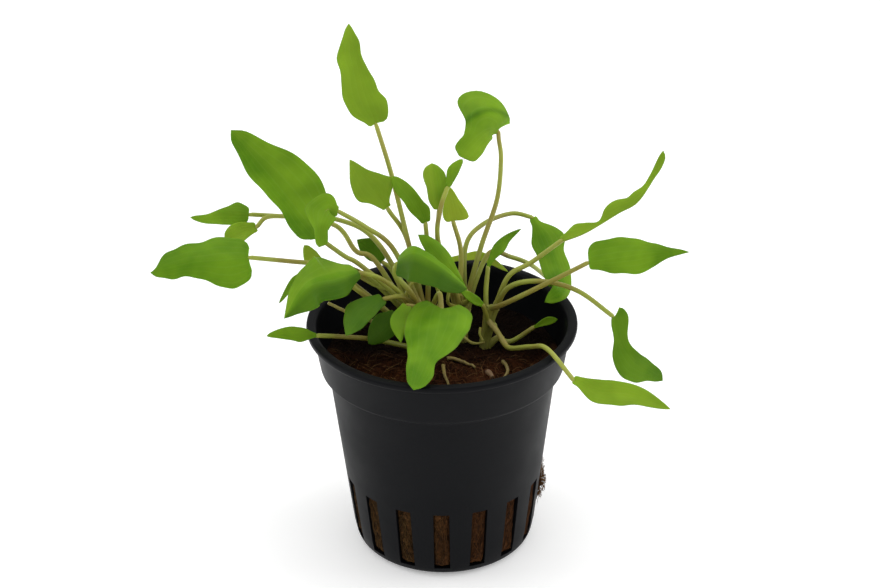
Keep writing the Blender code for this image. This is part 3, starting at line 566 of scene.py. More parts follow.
def blade_sheet(leaf, seed):
    """Blade = midrib(s) + across * r cos(fold) + up * lift - along * lobe, for s from joint to
    tip and v from the left margin to the right, with r = |v| * half width(s), where each half
    width is a little uneven. The lift is the fold's slope, softened at the midrib, plus a cup
    with v squared, a ripple with |v| cubed, faint lumps, and grooves along the veins, which
    run at constant v. The crease's painted shade is 1 at the crease, if there is one."""
    t = np.linspace(0.0, 1.0, BLADE_ROWS + 1)
    # rows lie closer together toward the joint
    s = 0.5 * t + 0.5 * t ** 1.7
    v = np.linspace(-1.0, 1.0, BLADE_COLUMNS + 1)[None, :]
    path = along_curve(leaf.midrib, s)
    along, across, up = directions(path, unit(np.array(leaf.face, float)))
    side = np.where(v < 0, half_widths(leaf.left, s)[:, None], half_widths(leaf.right, s)[:, None])
    fine = np.minimum(1.0, side / FINE_FROM)
    margin = path[:, None] + across[:, None] * (np.sign(v) * side)[..., None]
    side = side + MARGIN_DEPTH * fine * ripple(margin, MARGIN_SIZE, seed)
    fold = np.radians(np.where(v < 0, leaf.fold[0], leaf.fold[1]))
    r = np.abs(v) * side
    slope = np.sqrt(r ** 2 + FOLD_SOFT ** 2) - FOLD_SOFT
    past = np.where(v > 0, np.maximum(r - leaf.crease[0], 0.0), 0.0)
    bend = np.sqrt(past ** 2 + CREASE_SOFT ** 2) - CREASE_SOFT
    # painted shade along the crease, strongest at the bend
    crease_shade = np.where(v > 0, np.exp(-((r - leaf.crease[0]) / CREASE_WIDTH) ** 2), 0.0)
    height, count = leaf.wave
    draw = np.random.default_rng(seed)
    phase = np.where(v < 0, draw.uniform(0, math.tau), draw.uniform(0, math.tau))
    swell = np.sin(math.pi * np.clip(s, 0, 1))[:, None]
    wave = height * np.abs(v) ** 3 * np.sin(math.tau * count * s[:, None] + phase) * swell
    vein = np.exp(-((np.abs(v)[..., None] - VEINS) / VEIN_WIDTH) ** 2).max(axis=-1)
    lift = np.sin(fold) * slope + leaf.cup * r ** 2 + wave - VEIN_DEPTH * vein * fine
    lift = lift + math.sin(math.radians(leaf.crease[1])) * bend
    lobes = np.broadcast_to(leaf.lobe, 2)
    back = np.where(v < 0, *lobes) * np.abs(v) ** 1.5
    back = back * np.clip(1 - s / LOBE_SHARE, 0.0, 1.0)[:, None] ** 1.5
    sheet = (path[:, None] + across[:, None] * (np.sign(v) * r * np.cos(fold))[..., None]
             + up[:, None] * lift[..., None] - along[:, None] * back[..., None])
    sheet = sheet + up[:, None] * (LUMP_HEIGHT * fine * ripple(sheet, LUMP_SIZE, seed))[..., None]
    return sheet, s, v, crease_shade


def blade_parts(leaf, seed):
    """The blade's upper side and its underside, half a thickness either way along the
    sheet's normal. The thickness falls to nothing at the margin, the base and the tip."""
    sheet, s, v, crease_shade = blade_sheet(leaf, seed)
    normal = unit(np.cross(np.gradient(sheet, axis=0), np.gradient(sheet, axis=1)))
    side = np.sqrt(np.clip(1 - np.abs(v) ** MARGIN_FALL, 0, 1))
    ends = np.sqrt(np.clip(1 - np.abs(2 * s - 1) ** END_FALL, 0, 1))[:, None]
    half = (0.5 * BLADE_THICK * side * ends)[..., None]
    faces = grid_faces(BLADE_ROWS + 1, BLADE_COLUMNS + 1)
    place = np.stack(np.broadcast_arrays(0.5 + 0.5 * v, s[:, None]), axis=-1).reshape(-1, 2)
    # the tone: above 0 the leaf's yellowing with some painted glow, below 0 painted shade, and painted shade
    # along a crease
    first, last = np.broadcast_to(leaf.yellow, 2)
    share = 0.5 + 0.5 * np.clip(v / TONE_BLEND, -1.0, 1.0)
    tone = (first + (last - first) * share + CREASE_PAINTED_SHADE * crease_shade).ravel()
    return [Part((sheet - normal * half).reshape(-1, 3), faces, 0, place, tone),
            Part((sheet + normal * half).reshape(-1, 3), faces, 1, place, tone)]


def stalk_start(leaf):
    """The stalk's first point, on the side of its crown."""
    crown = CROWNS[leaf.crown]
    share = (leaf.height - CROWN_FOOT) / (crown.top - CROWN_FOOT)
    radius = crown.foot_radius + share * (crown.top_radius - crown.foot_radius)
    reach = STALK_REACH * max(radius, crown.top_radius)
    angle = math.radians(leaf.angle)
    return (crown.x + reach * math.cos(angle), crown.y + reach * math.sin(angle), leaf.height)


def stalk_and_rib(leaf):
    """One tube: the stalk from the crown to the joint, then the midrib under the blade, which
    narrows to the tip."""
    points = [stalk_start(leaf)] + leaf.petiole + [leaf.midrib[0]]
    stalk = along_curve(points, np.linspace(0.0, 1.0, 12 * len(points), endpoint=False))
    shares = np.linspace(0.0, RIB_END, RIB_RINGS)
    rib = along_curve(leaf.midrib, shares)
    face = unit(np.array(leaf.face, float))
    _, _, up = directions(rib, face)
    thick = RIB_RADIUS[0] + (RIB_RADIUS[1] - RIB_RADIUS[0]) * shares ** 0.7
    rib = rib - up * (RIB_DROP * thick)[:, None]
    path = np.vstack([stalk, rib])
    radii = np.concatenate([np.linspace(*STALK_RADIUS, len(stalk)), thick])
    return tubes(path[None], radii[None], STALK_SIDES, face, finish=2, tone=np.mean(leaf.yellow))


def make_leaf(leaf, seed, finishes):
    """A leaf: its blade's two sides, and its stalk with the midrib."""
    parts = blade_parts(leaf, seed) + [stalk_and_rib(leaf)]
    make_piece(f"fine_{leaf.name}", parts, finishes, [leaf.name])


def make_crown(name, crown, finish):
    """A short stem in its sheaths. Each leaf's sheath is a tube that leans out from the foot
    and narrows until it is the leaf's stalk."""
    grown = [leaf for leaf in LEAVES if leaf.crown == name]
    foot = np.array([crown.x + crown.lean, crown.y, WOOL_TOP])
    paths, radii = [], []
    for leaf in grown:
        start = np.array(stalk_start(leaf))
        outward = unit(start - [crown.x, crown.y, leaf.height])
        onward = unit(np.array(leaf.petiole[0]) - start)
        knots = [foot + 0.25 * crown.foot_radius * outward,
                 0.45 * foot + 0.55 * start - 0.1 * outward,
                 start, start + SHEATH_LAP * onward]
        paths.append(along_curve(knots, np.linspace(0.0, 1.0, SHEATH_RINGS)))
        radii.append(np.linspace(SHEATH_RADIUS, STALK_RADIUS[0] + SHEATH_PROUD, SHEATH_RINGS))
    sheaths = tubes(np.array(paths), np.array(radii), STALK_SIDES, np.array([0.3, -0.9, 0.1]),
                    0, 0.4)
    core = np.linspace(foot, [crown.x, crown.y, crown.top - 1.0], 8)
    thick = np.linspace(0.45 * crown.foot_radius, 0.3 * crown.top_radius, 8)
    stem = tubes(core[None], thick[None], 20, np.array([0.0, -1.0, 0.0]), 0, 0.2)
    make_piece(f"fine_{name}", [sheaths, stem], [finish], [name])


# Pot

def rounded(points, radius, steps=4):
    """A profile with its inner corners cut by quadratic curves that start a radius away."""
    points = np.array(points, dtype=float)
    before, corner, after = points[:-2], points[1:-1], points[2:]
    back = np.linalg.norm(before - corner, axis=1, keepdims=True)
    ahead = np.linalg.norm(after - corner, axis=1, keepdims=True)
    a = corner + (before - corner) * np.minimum(radius / back, 0.45)
    b = corner + (after - corner) * np.minimum(radius / ahead, 0.45)
    t = np.linspace(0.0, 1.0, steps)[None, :, None]
    curve = (1 - t) ** 2 * a[:, None] + 2 * t * (1 - t) * corner[:, None] + t ** 2 * b[:, None]
    return np.vstack([points[:1], curve.reshape(-1, 2), points[-1:]])


def outer_radius(height):
    """The pot's outer radius at a height."""
    return np.interp(height, [0.0, HEEL, BODY_FOOT, SHOULDER],
                     [BASE_RADIUS, HEEL_RADIUS, BODY_FOOT_RADIUS, SHOULDER_RADIUS])


def inner_radius(height):
    """The pot's inner radius at a height."""
    return np.interp(height, [FLOOR, BODY_FOOT, SHOULDER + WALL, COLLAR_FOOT + WALL],
                     [FLOOR_RADIUS, BODY_FOOT_RADIUS - WALL, SHOULDER_RADIUS - WALL,
                      COLLAR_FOOT_RADIUS - WALL])


def slot_angle(number):
    """The angle to the middle of a wall slot."""
    return math.radians(FIRST_SLOT) + SLOT_PITCH * number


def hole_walls(number, rows_in, rows_out, columns):
    """The faces that join the edge of a hole in one skin to the edge of its twin in the other:
    the loop of points round the hole in each skin, joined pair by pair."""
    n, m = len(rows_in) - 1, len(columns) - 1
    loops = ([np.zeros(m), np.arange(n), np.full(m, n), np.arange(n, 0, -1), [0]],
             [np.arange(m), np.full(n, m), np.arange(m, 0, -1), np.zeros(n), [0]])
    i, j = (np.concatenate(loop).astype(int) for loop in loops)
    near = number[rows_in[i], columns[j]]
    far = number[rows_out[i], columns[j]]
    return np.stack([near[:-1], near[1:], far[1:], far[:-1]], axis=1)


def make_pot(finish):
    """The pot: one closed profile turned about Z, point = (r cos a, r sin a, z). Its columns
    follow the slots' edges, the slots' cells are left out, and walls join the two skins."""
    heights = np.linspace(SLOT_LOW, SLOT_HIGH, 7)
    reach = np.linspace(FLOOR_SLOT_INNER, FLOOR_SLOT_OUTER, 5)
    lip = COLLAR_TOP_RADIUS - WALL
    upper = rounded([
        (inner_radius(SLOT_HIGH), SLOT_HIGH),
        (SHOULDER_RADIUS - WALL, SHOULDER + WALL),
        (COLLAR_FOOT_RADIUS - WALL, COLLAR_FOOT + WALL),
        (lip, POT_HEIGHT - 0.9),
        (lip + 0.4, POT_HEIGHT),
        (RIM_RADIUS, POT_HEIGHT),
        (RIM_RADIUS, POT_HEIGHT - RIM_THICK),
        (COLLAR_TOP_RADIUS, POT_HEIGHT - RIM_THICK - 0.3),
        (COLLAR_FOOT_RADIUS, COLLAR_FOOT),
        (SHOULDER_RADIUS, SHOULDER),
        (outer_radius(SLOT_HIGH), SLOT_HIGH),
    ], CORNER_ROUND)[1:-1]
    foot = rounded([
        (outer_radius(SLOT_LOW), SLOT_LOW),
        (HEEL_RADIUS, HEEL),
        (BASE_RADIUS, 0.0),
        (FLOOR_SLOT_OUTER, 0.0),
    ], FOOT_ROUND)[1:-1]
    stretches = [
        [(0.0, FLOOR)],
        np.stack([reach, np.full(5, FLOOR)], axis=1),
        rounded([(FLOOR_SLOT_OUTER, FLOOR), (FLOOR_RADIUS, FLOOR),
                 (inner_radius(SLOT_LOW), SLOT_LOW)], FOOT_ROUND)[1:-1],
        np.stack([inner_radius(heights), heights], axis=1),
        upper,
        np.stack([outer_radius(heights), heights], axis=1)[::-1],
        foot,
        np.stack([reach, np.zeros(5)], axis=1)[::-1],
        [(0.0, 0.0)],
    ]
    starts = np.cumsum([0] + [len(stretch) for stretch in stretches])
    profile = np.vstack(stretches)
    radius, height = profile.T
    # half the width of a slot at each row: the floor's slots are narrower than the wall's
    half = np.interp(radius, [FLOOR_SLOT_OUTER, inner_radius(SLOT_LOW)],
                     [FLOOR_SLOT_WIDTH / 2, SLOT_WIDTH / 2])
    edge = np.arcsin(half / np.maximum(radius, FLOOR_SLOT_INNER))[:, None]
    in_slot = np.linspace(-1.0, 1.0, SLOT_COLUMNS + 1)[None, :]
    in_bar = np.linspace(0.0, 1.0, BAR_COLUMNS + 1)[None, 1:-1]
    offsets = np.hstack([edge * in_slot, edge + in_bar * (SLOT_PITCH - 2 * edge)])
    middle = slot_angle(np.arange(SLOTS))
    angle = (middle[None, :, None] + offsets[:, None, :]).reshape(len(profile), -1)
    points = turned(radius[:, None], angle, height[:, None])
    rows, columns = angle.shape
    number = np.arange(rows * columns).reshape(rows, columns)
    keep = np.ones((rows - 1, columns), bool)
    floor_in, wall_in, wall_out, floor_out = (
        np.arange(starts[k], starts[k + 1]) for k in (1, 3, 5, 7))
    walls = []
    per_slot = SLOT_COLUMNS + BAR_COLUMNS
    for slot in range(SLOTS):
        cells = slot * per_slot + np.arange(SLOT_COLUMNS)
        edges = slot * per_slot + np.arange(SLOT_COLUMNS + 1)
        holes = [(wall_in, wall_out)] + [(floor_in, floor_out)] * (slot % 2 == 0)
        for inside, outside in holes:
            keep[np.ix_(inside[:-1], cells)] = False
            keep[np.ix_(outside[:-1], cells)] = False
            walls.append(hole_walls(number, inside, outside[::-1], edges))
    faces = grid_faces(rows, columns, closed=True)[keep.ravel()]
    place = np.stack(np.broadcast_arrays(angle / math.tau, height[:, None] / POT_HEIGHT), axis=-1)
    shell = Part(points.reshape(-1, 3), np.vstack([faces] + walls), 0, place.reshape(-1, 2),
                 np.zeros(points.size // 3))
    pot = make_piece("fine_pot", [shell], [finish], ["pot"], sharp=35)
    soft = pot.modifiers.new("soft edges", "BEVEL")
    soft.width = POT_EDGE * MM
    soft.segments = 2
    soft.limit_method = "ANGLE"
    soft.angle_limit = math.radians(50)


# Mineral wool

def slot_offset(angle):
    """The angle to the middle of the nearest wall slot, and that slot's number."""
    turns = (angle - slot_angle(0)) / SLOT_PITCH
    nearest = np.round(turns)
    return (turns - nearest) * SLOT_PITCH, nearest.astype(int) % SLOTS


def wool_top(x, y):
    """The wool's top: a shallow dome with a wide ripple and lumps of three sizes, and a smooth
    rise near the wall, where the lumps fade."""
    dome = WOOL_RISE * (1 - (x ** 2 + y ** 2) / SHOULDER_RADIUS ** 2)
    wide = 0.25 * np.sin(0.55 * x + 1.0) * np.cos(0.48 * y)
    flat = np.stack([x, y, np.zeros_like(x)], axis=-1)
    lumps = sum(depth * ripple(flat, size, SEED + k) for k, (size, depth) in enumerate(TOP_LUMPS))
    near = np.clip((np.hypot(x, y) - LIP_FROM) / (COLLAR_FOOT_RADIUS - WALL - LIP_FROM), 0.0, 1.0)
    return WOOL_TOP + dome + wide + lumps * (1 - LIP_FADE * near) + LIP_RISE * smooth(near)


def wool_side(angle, height):
    """The wool's radius: the pot's inner radius less a gap, plus a bulge into each slot that
    rises smoothly from the slot's edges, and lumps. The tuft's slot bulges past the wall."""
    radius = inner_radius(height)
    offset, slot = slot_offset(angle)
    inside = (0.5 * SLOT_WIDTH - np.abs(offset) * radius) / SLOT_BLEND
    tall = np.minimum(height - SLOT_LOW, SLOT_HIGH - height) / SLOT_BLEND
    mask = smooth(np.clip(np.minimum(inside, tall), 0, 1))
    place = turned(radius, angle, height)
    lumps = sum(depth * ripple(place, size, SEED + 9 + k)
                for k, (size, depth) in enumerate(SIDE_LUMPS))
    bulge = TUFT_PROUD * np.exp(-((height - TUFT_HEIGHT) / TUFT_SPREAD) ** 2)
    tuft = np.where(slot == TUFT_SLOT, bulge, 0)
    return radius - WOOL_CLEAR + mask * (WALL - SLOT_DEPTH + lumps + tuft)


def make_wool(finish):
    """The plug: rings of the top from the middle out to the lip that lies on the pot's ledge,
    then rings of the side down to the foot, point = (r cos a, r sin a, z)."""
    angle = np.linspace(0.0, math.tau, WOOL_COLUMNS, endpoint=False)
    r = np.linspace(0.0, COLLAR_FOOT_RADIUS - WALL - WOOL_CLEAR, TOP_ROWS)[:, None]
    x, y = r * np.cos(angle), r * np.sin(angle)
    top = np.stack([x, y, wool_top(x, y)], axis=-1)
    high = np.concatenate([[COLLAR_FOOT + WALL, SHOULDER + WALL],
                           np.linspace(WOOL_TOP - 1.2, SLOT_HIGH + PAST_SLOTS, 10, endpoint=False)])
    low = np.linspace(SLOT_HIGH + PAST_SLOTS, SLOT_LOW - PAST_SLOTS, SIDE_ROWS)
    height = np.concatenate([high, low, [FLOOR + 0.6, FLOOR + WOOL_CLEAR]])[:, None]
    radius = wool_side(*np.broadcast_arrays(angle[None, :], height))
    side = turned(radius, angle, height)
    under = np.broadcast_to([0.0, 0.0, FLOOR + WOOL_CLEAR], (1, WOOL_COLUMNS, 3))
    points = np.concatenate([top, side, under])
    faces = grid_faces(len(points), WOOL_COLUMNS, closed=True)
    count = points.size // 3
    plug = Part(points.reshape(-1, 3), faces, 0, np.zeros((count, 2)), np.zeros(count))
    make_piece("fine_mineral_wool", [plug], [finish], ["mineral_wool"], sharp=180)


def make_fibres(finish):
    """Loose strands of the wool: short bent tubes that lie on the top, stand in the slots and
    stick out of the tuft. Strand = start + length * t * heading + bend * t squared."""
    draw = np.random.default_rng(SEED)
    t = np.linspace(0.0, 1.0, 5)[None, :]

    def spread(low, high, count):
        return draw.uniform(low, high, (count, 1))

    n = TOP_STRANDS
    r, a = TOP_REACH[0] * np.sqrt(spread(0, 1, n)), spread(0, math.tau, n)
    heading, turn, length = spread(0, math.tau, n), spread(-1.2, 1.2, n), spread(*TOP_LENGTH, n)
    x = r * np.cos(a) + length * (t - 0.5) * np.cos(heading + turn * t)
    y = r * np.sin(a) + length * (t - 0.5) * np.sin(heading + turn * t)
    inward = np.minimum(1.0, TOP_REACH[1] / np.maximum(np.hypot(x, y), 1e-6))
    x, y = x * inward, y * inward
    z = wool_top(x, y) + spread(0.0, 0.22, n) + spread(0, 0.4, n) * np.sin(math.pi * t)
    top = np.stack([x, y, z], axis=-1)

    n = SLOT_STRANDS
    slot = draw.integers(0, SLOTS, (n, 1))
    height = spread(SLOT_LOW + 0.6, SLOT_HIGH - 0.6, n)
    lean, bend, length = spread(-0.5, 0.5, n), spread(-0.6, 0.6, n), spread(*SLOT_LENGTH, n)
    z = np.clip(height + length * (t - 0.5) * np.cos(lean), SLOT_LOW + 0.2, SLOT_HIGH - 0.2)
    out = spread(-1.3, 1.3, n) + length * (t - 0.5) * np.sin(lean) + bend * t ** 2
    edge = 0.5 * SLOT_WIDTH - STRAND_CLEAR
    angle = slot_angle(slot) + np.clip(out, -edge, edge) / inner_radius(z)
    radius = wool_side(angle, z) + spread(0.0, 0.16, n)
    slots = turned(radius, angle, z)

    n = TUFT_STRANDS
    height = TUFT_HEIGHT + spread(-4.0, 3.8, n)
    angle = slot_angle(TUFT_SLOT) + spread(-1.3, 1.3, n) / TUFT_RADIUS
    z = height + spread(-2.0, 2.4, n) * t + spread(-0.8, 0.5, n) * t ** 2
    radius = wool_side(angle, height) - 0.1 + spread(0.4, 1.3, n) * np.sin(2.2 * t)
    angle = angle + spread(-0.05, 0.05, n) * t
    tuft = turned(radius, angle, z)

    paths = np.concatenate([top, slots, tuft])
    thick = draw.uniform(*STRAND_RADIUS, (len(paths), 1)) * np.array(STRAND_TAPER)
    tone = draw.uniform(0, 1, len(paths))
    # strands in the slots are darker, and those of the tuft are paler
    tone[TOP_STRANDS:-TUFT_STRANDS] *= 0.7
    tone[-TUFT_STRANDS:] = 0.6 + 0.4 * tone[-TUFT_STRANDS:]
    strands = tubes(paths, thick, 3, np.array([0.31, -0.52, 0.79]), 0, tone)
    make_piece("wool_strands", [strands], [finish], sharp=180)


def make_root(name, plan, finish):
    """A bare root that lies on the wool: a tube that thins to its tip."""
    plan = np.array(plan, dtype=float)
    flat = np.hstack([plan, np.zeros((len(plan), 1))])
    path = along_curve(flat, np.linspace(0.0, 1.0, ROOT_RINGS))
    path[:, 2] = wool_top(path[:, 0], path[:, 1]) + ROOT_RADIUS + ROOT_LIFT
    thick = np.linspace(ROOT_RADIUS, ROOT_TIP * ROOT_RADIUS, ROOT_RINGS)
    root = tubes(path[None], thick[None], 10, np.array([0.1, -0.2, 0.97]), 0, 0.3)
    make_piece(f"fine_{name}", [root], [finish], [name])


def make_twigs(name, table, finish):
    """Fine roots or stalk ends: tubes through given points, each thinning to its tip."""
    parts = []
    for radius, tone, points in table:
        path = along_curve(points, np.linspace(0.0, 1.0, TWIG_RINGS))
        thick = radius * np.linspace(1.0, TWIG_TIP, TWIG_RINGS)
        parts.append(tubes(path[None], thick[None], 10, np.array([0.1, -0.4, 0.9]), 0, tone))
    make_piece(name, parts, [finish])


# Materials

def linear(code):
    """An sRGB hex colour as linear red, green, blue and alpha."""
    parts = np.array([int(code[i:i + 2], 16) / 255 for i in (1, 3, 5)])
    parts = np.where(parts <= 0.04045, parts / 12.92, ((parts + 0.055) / 1.055) ** 2.4)
    return (*parts.tolist(), 1.0)


def per_mm(size):
    """The scale of a pattern that repeats at a size in millimetres."""
    return 1.0 / (size * MM)


def add(tree, kind, inputs=None, **settings):
    """Add a node: settings are its own, inputs give its sockets values or links."""
    item = tree.nodes.new("ShaderNode" + kind)
    for key, value in settings.items():
        setattr(item, key, value)
    for key, value in (inputs or {}).items():
        if isinstance(value, bpy.types.NodeSocket):
            tree.links.new(value, item.inputs[key])
        else:
            item.inputs[key].default_value = value
    return item


def start_material(name):
    """An empty node material, and its tree."""
    material = bpy.data.materials.new(name)
    material.use_nodes = True
    material.node_tree.nodes.clear()
    return material, material.node_tree


def finish_material(tree, colour, roughness, height, depth, **values):
    """Close a tree with a bump of a depth in millimetres, the shader and the output. The
    values are constants on the shader's own sockets."""
    bump = add(tree, "Bump", {"Height": height, "Strength": 1.0, "Distance": depth * MM})
    inputs = {"Base Color": colour, "Roughness": roughness, "Normal": bump.outputs[0]}
    inputs.update({key.replace("_", " "): value for key, value in values.items()})
    shader = add(tree, "BsdfPrincipled", inputs)
    add(tree, "OutputMaterial", {"Surface": shader.outputs[0]})


def vein_mask(tree):
    """1 on the veins and 0 between them, from the surface map: the midrib and the side veins
    lie at even steps of the share of the way from the midrib to the margin."""
    place = add(tree, "SeparateXYZ", {0: add(tree, "UVMap", uv_map="surface").outputs[0]})
    from_rib = add(tree, "Math", {0: place.outputs["X"], 1: 2.0, 2: -1.0}, operation="MULTIPLY_ADD")
    share = add(tree, "Math", {0: from_rib.outputs[0]}, operation="ABSOLUTE")
    to_vein = add(tree, "Math", {0: share.outputs[0], 1: VEIN_STEP / 2}, operation="PINGPONG")
    mask = add(tree, "MapRange", {"Value": to_vein.outputs[0], "From Min": 0.045, "From Max": 0.0},
               interpolation_type="SMOOTHSTEP")
    return mask.outputs[0], share.outputs[0]


def leaf_material(name, deep, bright, pale, yellow, roughness):
    """Living leaf: a waxy skin over soft green tissue. It gives a broad soft sheen, a colour
    that drifts over a few millimetres, and paler veins; light bleeds a little way through."""
    material, tree = start_material(name)
    place = add(tree, "TexCoord").outputs["Object"]
    tone = add(tree, "Attribute", attribute_name="tone").outputs["Fac"]
    vein, share = vein_mask(tree)
    drift = add(tree, "TexNoise", {"Vector": place, "Scale": per_mm(7.0), "Detail": 2.0})
    patch = add(tree, "MapRange", {"Value": drift.outputs[0], "From Min": 0.35, "From Max": 0.65})
    veined = add(tree, "Math", {0: vein, 1: 0.07}, operation="MULTIPLY")
    # the mix toward yellow is the leaf's own yellowing and in part a painted glow of light through the blade;
    # the mix toward #274b06 for tones below 0 is painted shade on leaves and halves that lie in shadow
    yellowing_and_glow = add(tree, "MapRange", {"Value": tone})
    shade = add(tree, "MapRange", {"Value": tone, "From Max": -1.0})
    rim = add(tree, "MapRange", {"Value": share, "From Min": 0.95, "To Max": 0.4})
    colour = linear(deep)
    for amount, code in ((patch, bright), (veined, pale), (yellowing_and_glow, yellow), (shade, "#274b06"),
                         (rim, "#4b4f22")):
        colour = add(tree, "Mix", {0: amount.outputs[0], 6: colour, 7: linear(code)},
                     data_type="RGBA").outputs[2]
    cells = add(tree, "TexNoise", {"Vector": place, "Scale": per_mm(0.5), "Detail": 3.0})
    height = add(tree, "Math", {0: vein, 1: -0.2, 2: cells.outputs[0]}, operation="MULTIPLY_ADD")
    gloss = add(tree, "MapRange", {"Value": cells.outputs[0], "To Min": roughness - 0.06,
                                   "To Max": roughness + 0.06})
    finish_material(tree, colour, gloss.outputs[0], height.outputs[0], 0.03, IOR=1.42,
                    Specular_IOR_Level=0.15, Subsurface_Weight=0.3,
                    Subsurface_Radius=(0.5, 1.0, 0.15), Subsurface_Scale=0.5 * MM)
    return material


def stalk_material(name, grown, young, foot, roughness):
    """Leaf stalk, sheath and root skin: smooth, slightly waxy and ribbed along its length. It
    gives a narrow sheen, fine streaks, a brown blush in places, and a colour that runs from
    the foot to the tip."""
    material, tree = start_material(name)
    place = add(tree, "TexCoord").outputs["Object"]
    tone = add(tree, "Attribute", attribute_name="tone").outputs["Fac"]
    surface = add(tree, "UVMap", uv_map="surface").outputs[0]
    along = add(tree, "SeparateXYZ", {0: surface}).outputs["Y"]
    # toward the foot the colour goes to the foot colour; on the leaf stalks that is darker, in part as
    # painted shade among the crowns
    low = add(tree, "MapRange", {"Value": along, "From Max": 0.3, "To Min": 1.0, "To Max": 0.0},
              interpolation_type="SMOOTHSTEP")
    mottle = add(tree, "TexNoise", {"Vector": place, "Scale": per_mm(2.5), "Detail": 3.0})
    drift = add(tree, "TexNoise", {"Vector": place, "Scale": per_mm(9.0), "Detail": 1.0})
    blush = add(tree, "MapRange", {"Value": drift.outputs[0], "From Min": 0.48, "From Max": 0.6,
                                   "To Max": 0.55})
    colour = linear(grown)
    for amount, code in ((mottle.outputs[0], young), (low.outputs[0], foot),
                         (blush.outputs[0], "#84692f"), (tone, "#a7a44c")):
        colour = add(tree, "Mix", {0: amount, 6: colour, 7: linear(code)},
                     data_type="RGBA").outputs[2]
    stretch = add(tree, "VectorMath", {0: surface, 1: (9.0, 3.0, 1.0)}, operation="MULTIPLY")
    ribs = add(tree, "TexNoise", {"Vector": stretch.outputs[0], "Scale": 2.0, "Detail": 2.0})
    gloss = add(tree, "MapRange", {"Value": mottle.outputs[0], "To Min": roughness - 0.06,
                                   "To Max": roughness + 0.06})
    finish_material(tree, colour, gloss.outputs[0], ribs.outputs[0], 0.06, IOR=1.42,
                    Subsurface_Weight=0.25, Subsurface_Radius=(0.8, 1.0, 0.3),
                    Subsurface_Scale=0.5 * MM)
    return material


def plastic_material():
    """Polypropylene, moulded and matte: black with a faint blue cast, a wide soft sheen, a
    fine spark-eroded grain from the mould, and light rubbed patches."""
    material, tree = start_material("black moulded polypropylene")
    place = add(tree, "TexCoord").outputs["Object"]
    grain = add(tree, "TexNoise", {"Vector": place, "Scale": per_mm(0.35), "Detail": 4.0})
    cloud = add(tree, "TexNoise", {"Vector": place, "Scale": per_mm(11.0), "Detail": 3.0})
    colour = add(tree, "Mix", {0: cloud.outputs[0], 6: linear("#06070a"), 7: linear("#090a0d")},
                 data_type="RGBA")
    gloss = add(tree, "MapRange", {"Value": cloud.outputs[0], "From Min": 0.3, "From Max": 0.7,
                                   "To Min": 0.42, "To Max": 0.54})
    finish_material(tree, colour.outputs[2], gloss.outputs[0], grain.outputs[0], 0.02, IOR=1.49,
                    Specular_IOR_Level=0.09)
    return material


def wool_colour(tree, place, lit, pale, rusty, tan, straw):
    """The rusty colour on the wool's top, darkened to near black by painted shade behind the
    crowns, and the tan colour low in the pot, with more rust toward the right. Each of the two
    goes from its dark shade to its bright one by the amount lit, and then toward straw by the
    amount pale."""
    axes = add(tree, "SeparateXYZ", {0: place}).outputs
    side = add(tree, "MapRange", {"Value": axes["X"], "From Min": TAN_TO_RUSTY[0] * MM,
                                  "From Max": TAN_TO_RUSTY[1] * MM, "To Min": 1.0, "To Max": 0.4})
    # painted shade: the wool's top goes to near black (#0b0705) behind the crowns, where the leaves shade it
    painted_shade = add(tree, "MapRange", {"Value": axes["Y"], "From Min": PAINTED_SHADE_Y[0] * MM,
                                 "From Max": PAINTED_SHADE_Y[1] * MM, "To Max": 0.93})
    low = add(tree, "MapRange", {"Value": axes["Z"], "From Min": RUSTY_TO_TAN[0] * MM,
                                 "From Max": RUSTY_TO_TAN[1] * MM, "To Max": side.outputs[0]})
    browns = []
    for dark, bright in (rusty, tan):
        brown = add(tree, "Mix", {0: lit, 6: linear(dark), 7: linear(bright)}, data_type="RGBA")
        browns.append(add(tree, "Mix", {0: pale, 6: brown.outputs[2], 7: linear(straw)},
                          data_type="RGBA").outputs[2])
    top = add(tree, "Mix", {0: painted_shade.outputs[0], 6: browns[0], 7: linear("#0b0705")},
              data_type="RGBA")
    mixed = add(tree, "Mix", {0: low.outputs[0], 6: top.outputs[2], 7: browns[1]},
                data_type="RGBA")
    return mixed.outputs[2]


def wool_material():
    """Damp mineral wool: matted brown fibres, dark where they lie deep and rusty where they
    catch the light, quite without gloss."""
    material, tree = start_material("damp mineral wool")
    place = add(tree, "TexCoord").outputs["Object"]
    clump = add(tree, "TexNoise", {"Vector": place, "Scale": per_mm(3.0), "Detail": 5.0})
    felt = add(tree, "TexNoise", {"Vector": place, "Scale": per_mm(0.5), "Detail": 4.0,
                                  "Distortion": 1.5})
    patch = add(tree, "MapRange", {"Value": clump.outputs[0], "From Min": 0.35, "From Max": 0.65})
    thread = add(tree, "MapRange", {"Value": felt.outputs[0], "From Min": 0.5, "From Max": 0.75})
    colour = wool_colour(tree, place, patch.outputs[0], thread.outputs[0],
                         ("#1a0c06", "#4a2712"), ("#1e1108", "#463018"), "#5f3e22")
    finish_material(tree, colour, 0.95, felt.outputs[0], 0.25, IOR=1.4, Specular_IOR_Level=0.1)
    return material


def strand_material():
    """Single mineral fibres, from dark rust to straw by the strand's own tone."""
    material, tree = start_material("mineral fibre")
    place = add(tree, "TexCoord").outputs["Object"]
    tone = add(tree, "Attribute", attribute_name="tone").outputs["Fac"]
    lit = add(tree, "MapRange", {"Value": tone, "From Max": 0.7})
    pale = add(tree, "MapRange", {"Value": tone, "From Min": 0.75})
    dust = add(tree, "TexNoise", {"Vector": place, "Scale": per_mm(0.4), "Detail": 2.0})
    colour = wool_colour(tree, place, lit.outputs[0], pale.outputs[0],
                         ("#200f09", "#522c16"), ("#21150a", "#553e20"), "#80613d")
    finish_material(tree, colour, 0.85, dust.outputs[0], 0.02, IOR=1.45, Specular_IOR_Level=0.1)
    return material


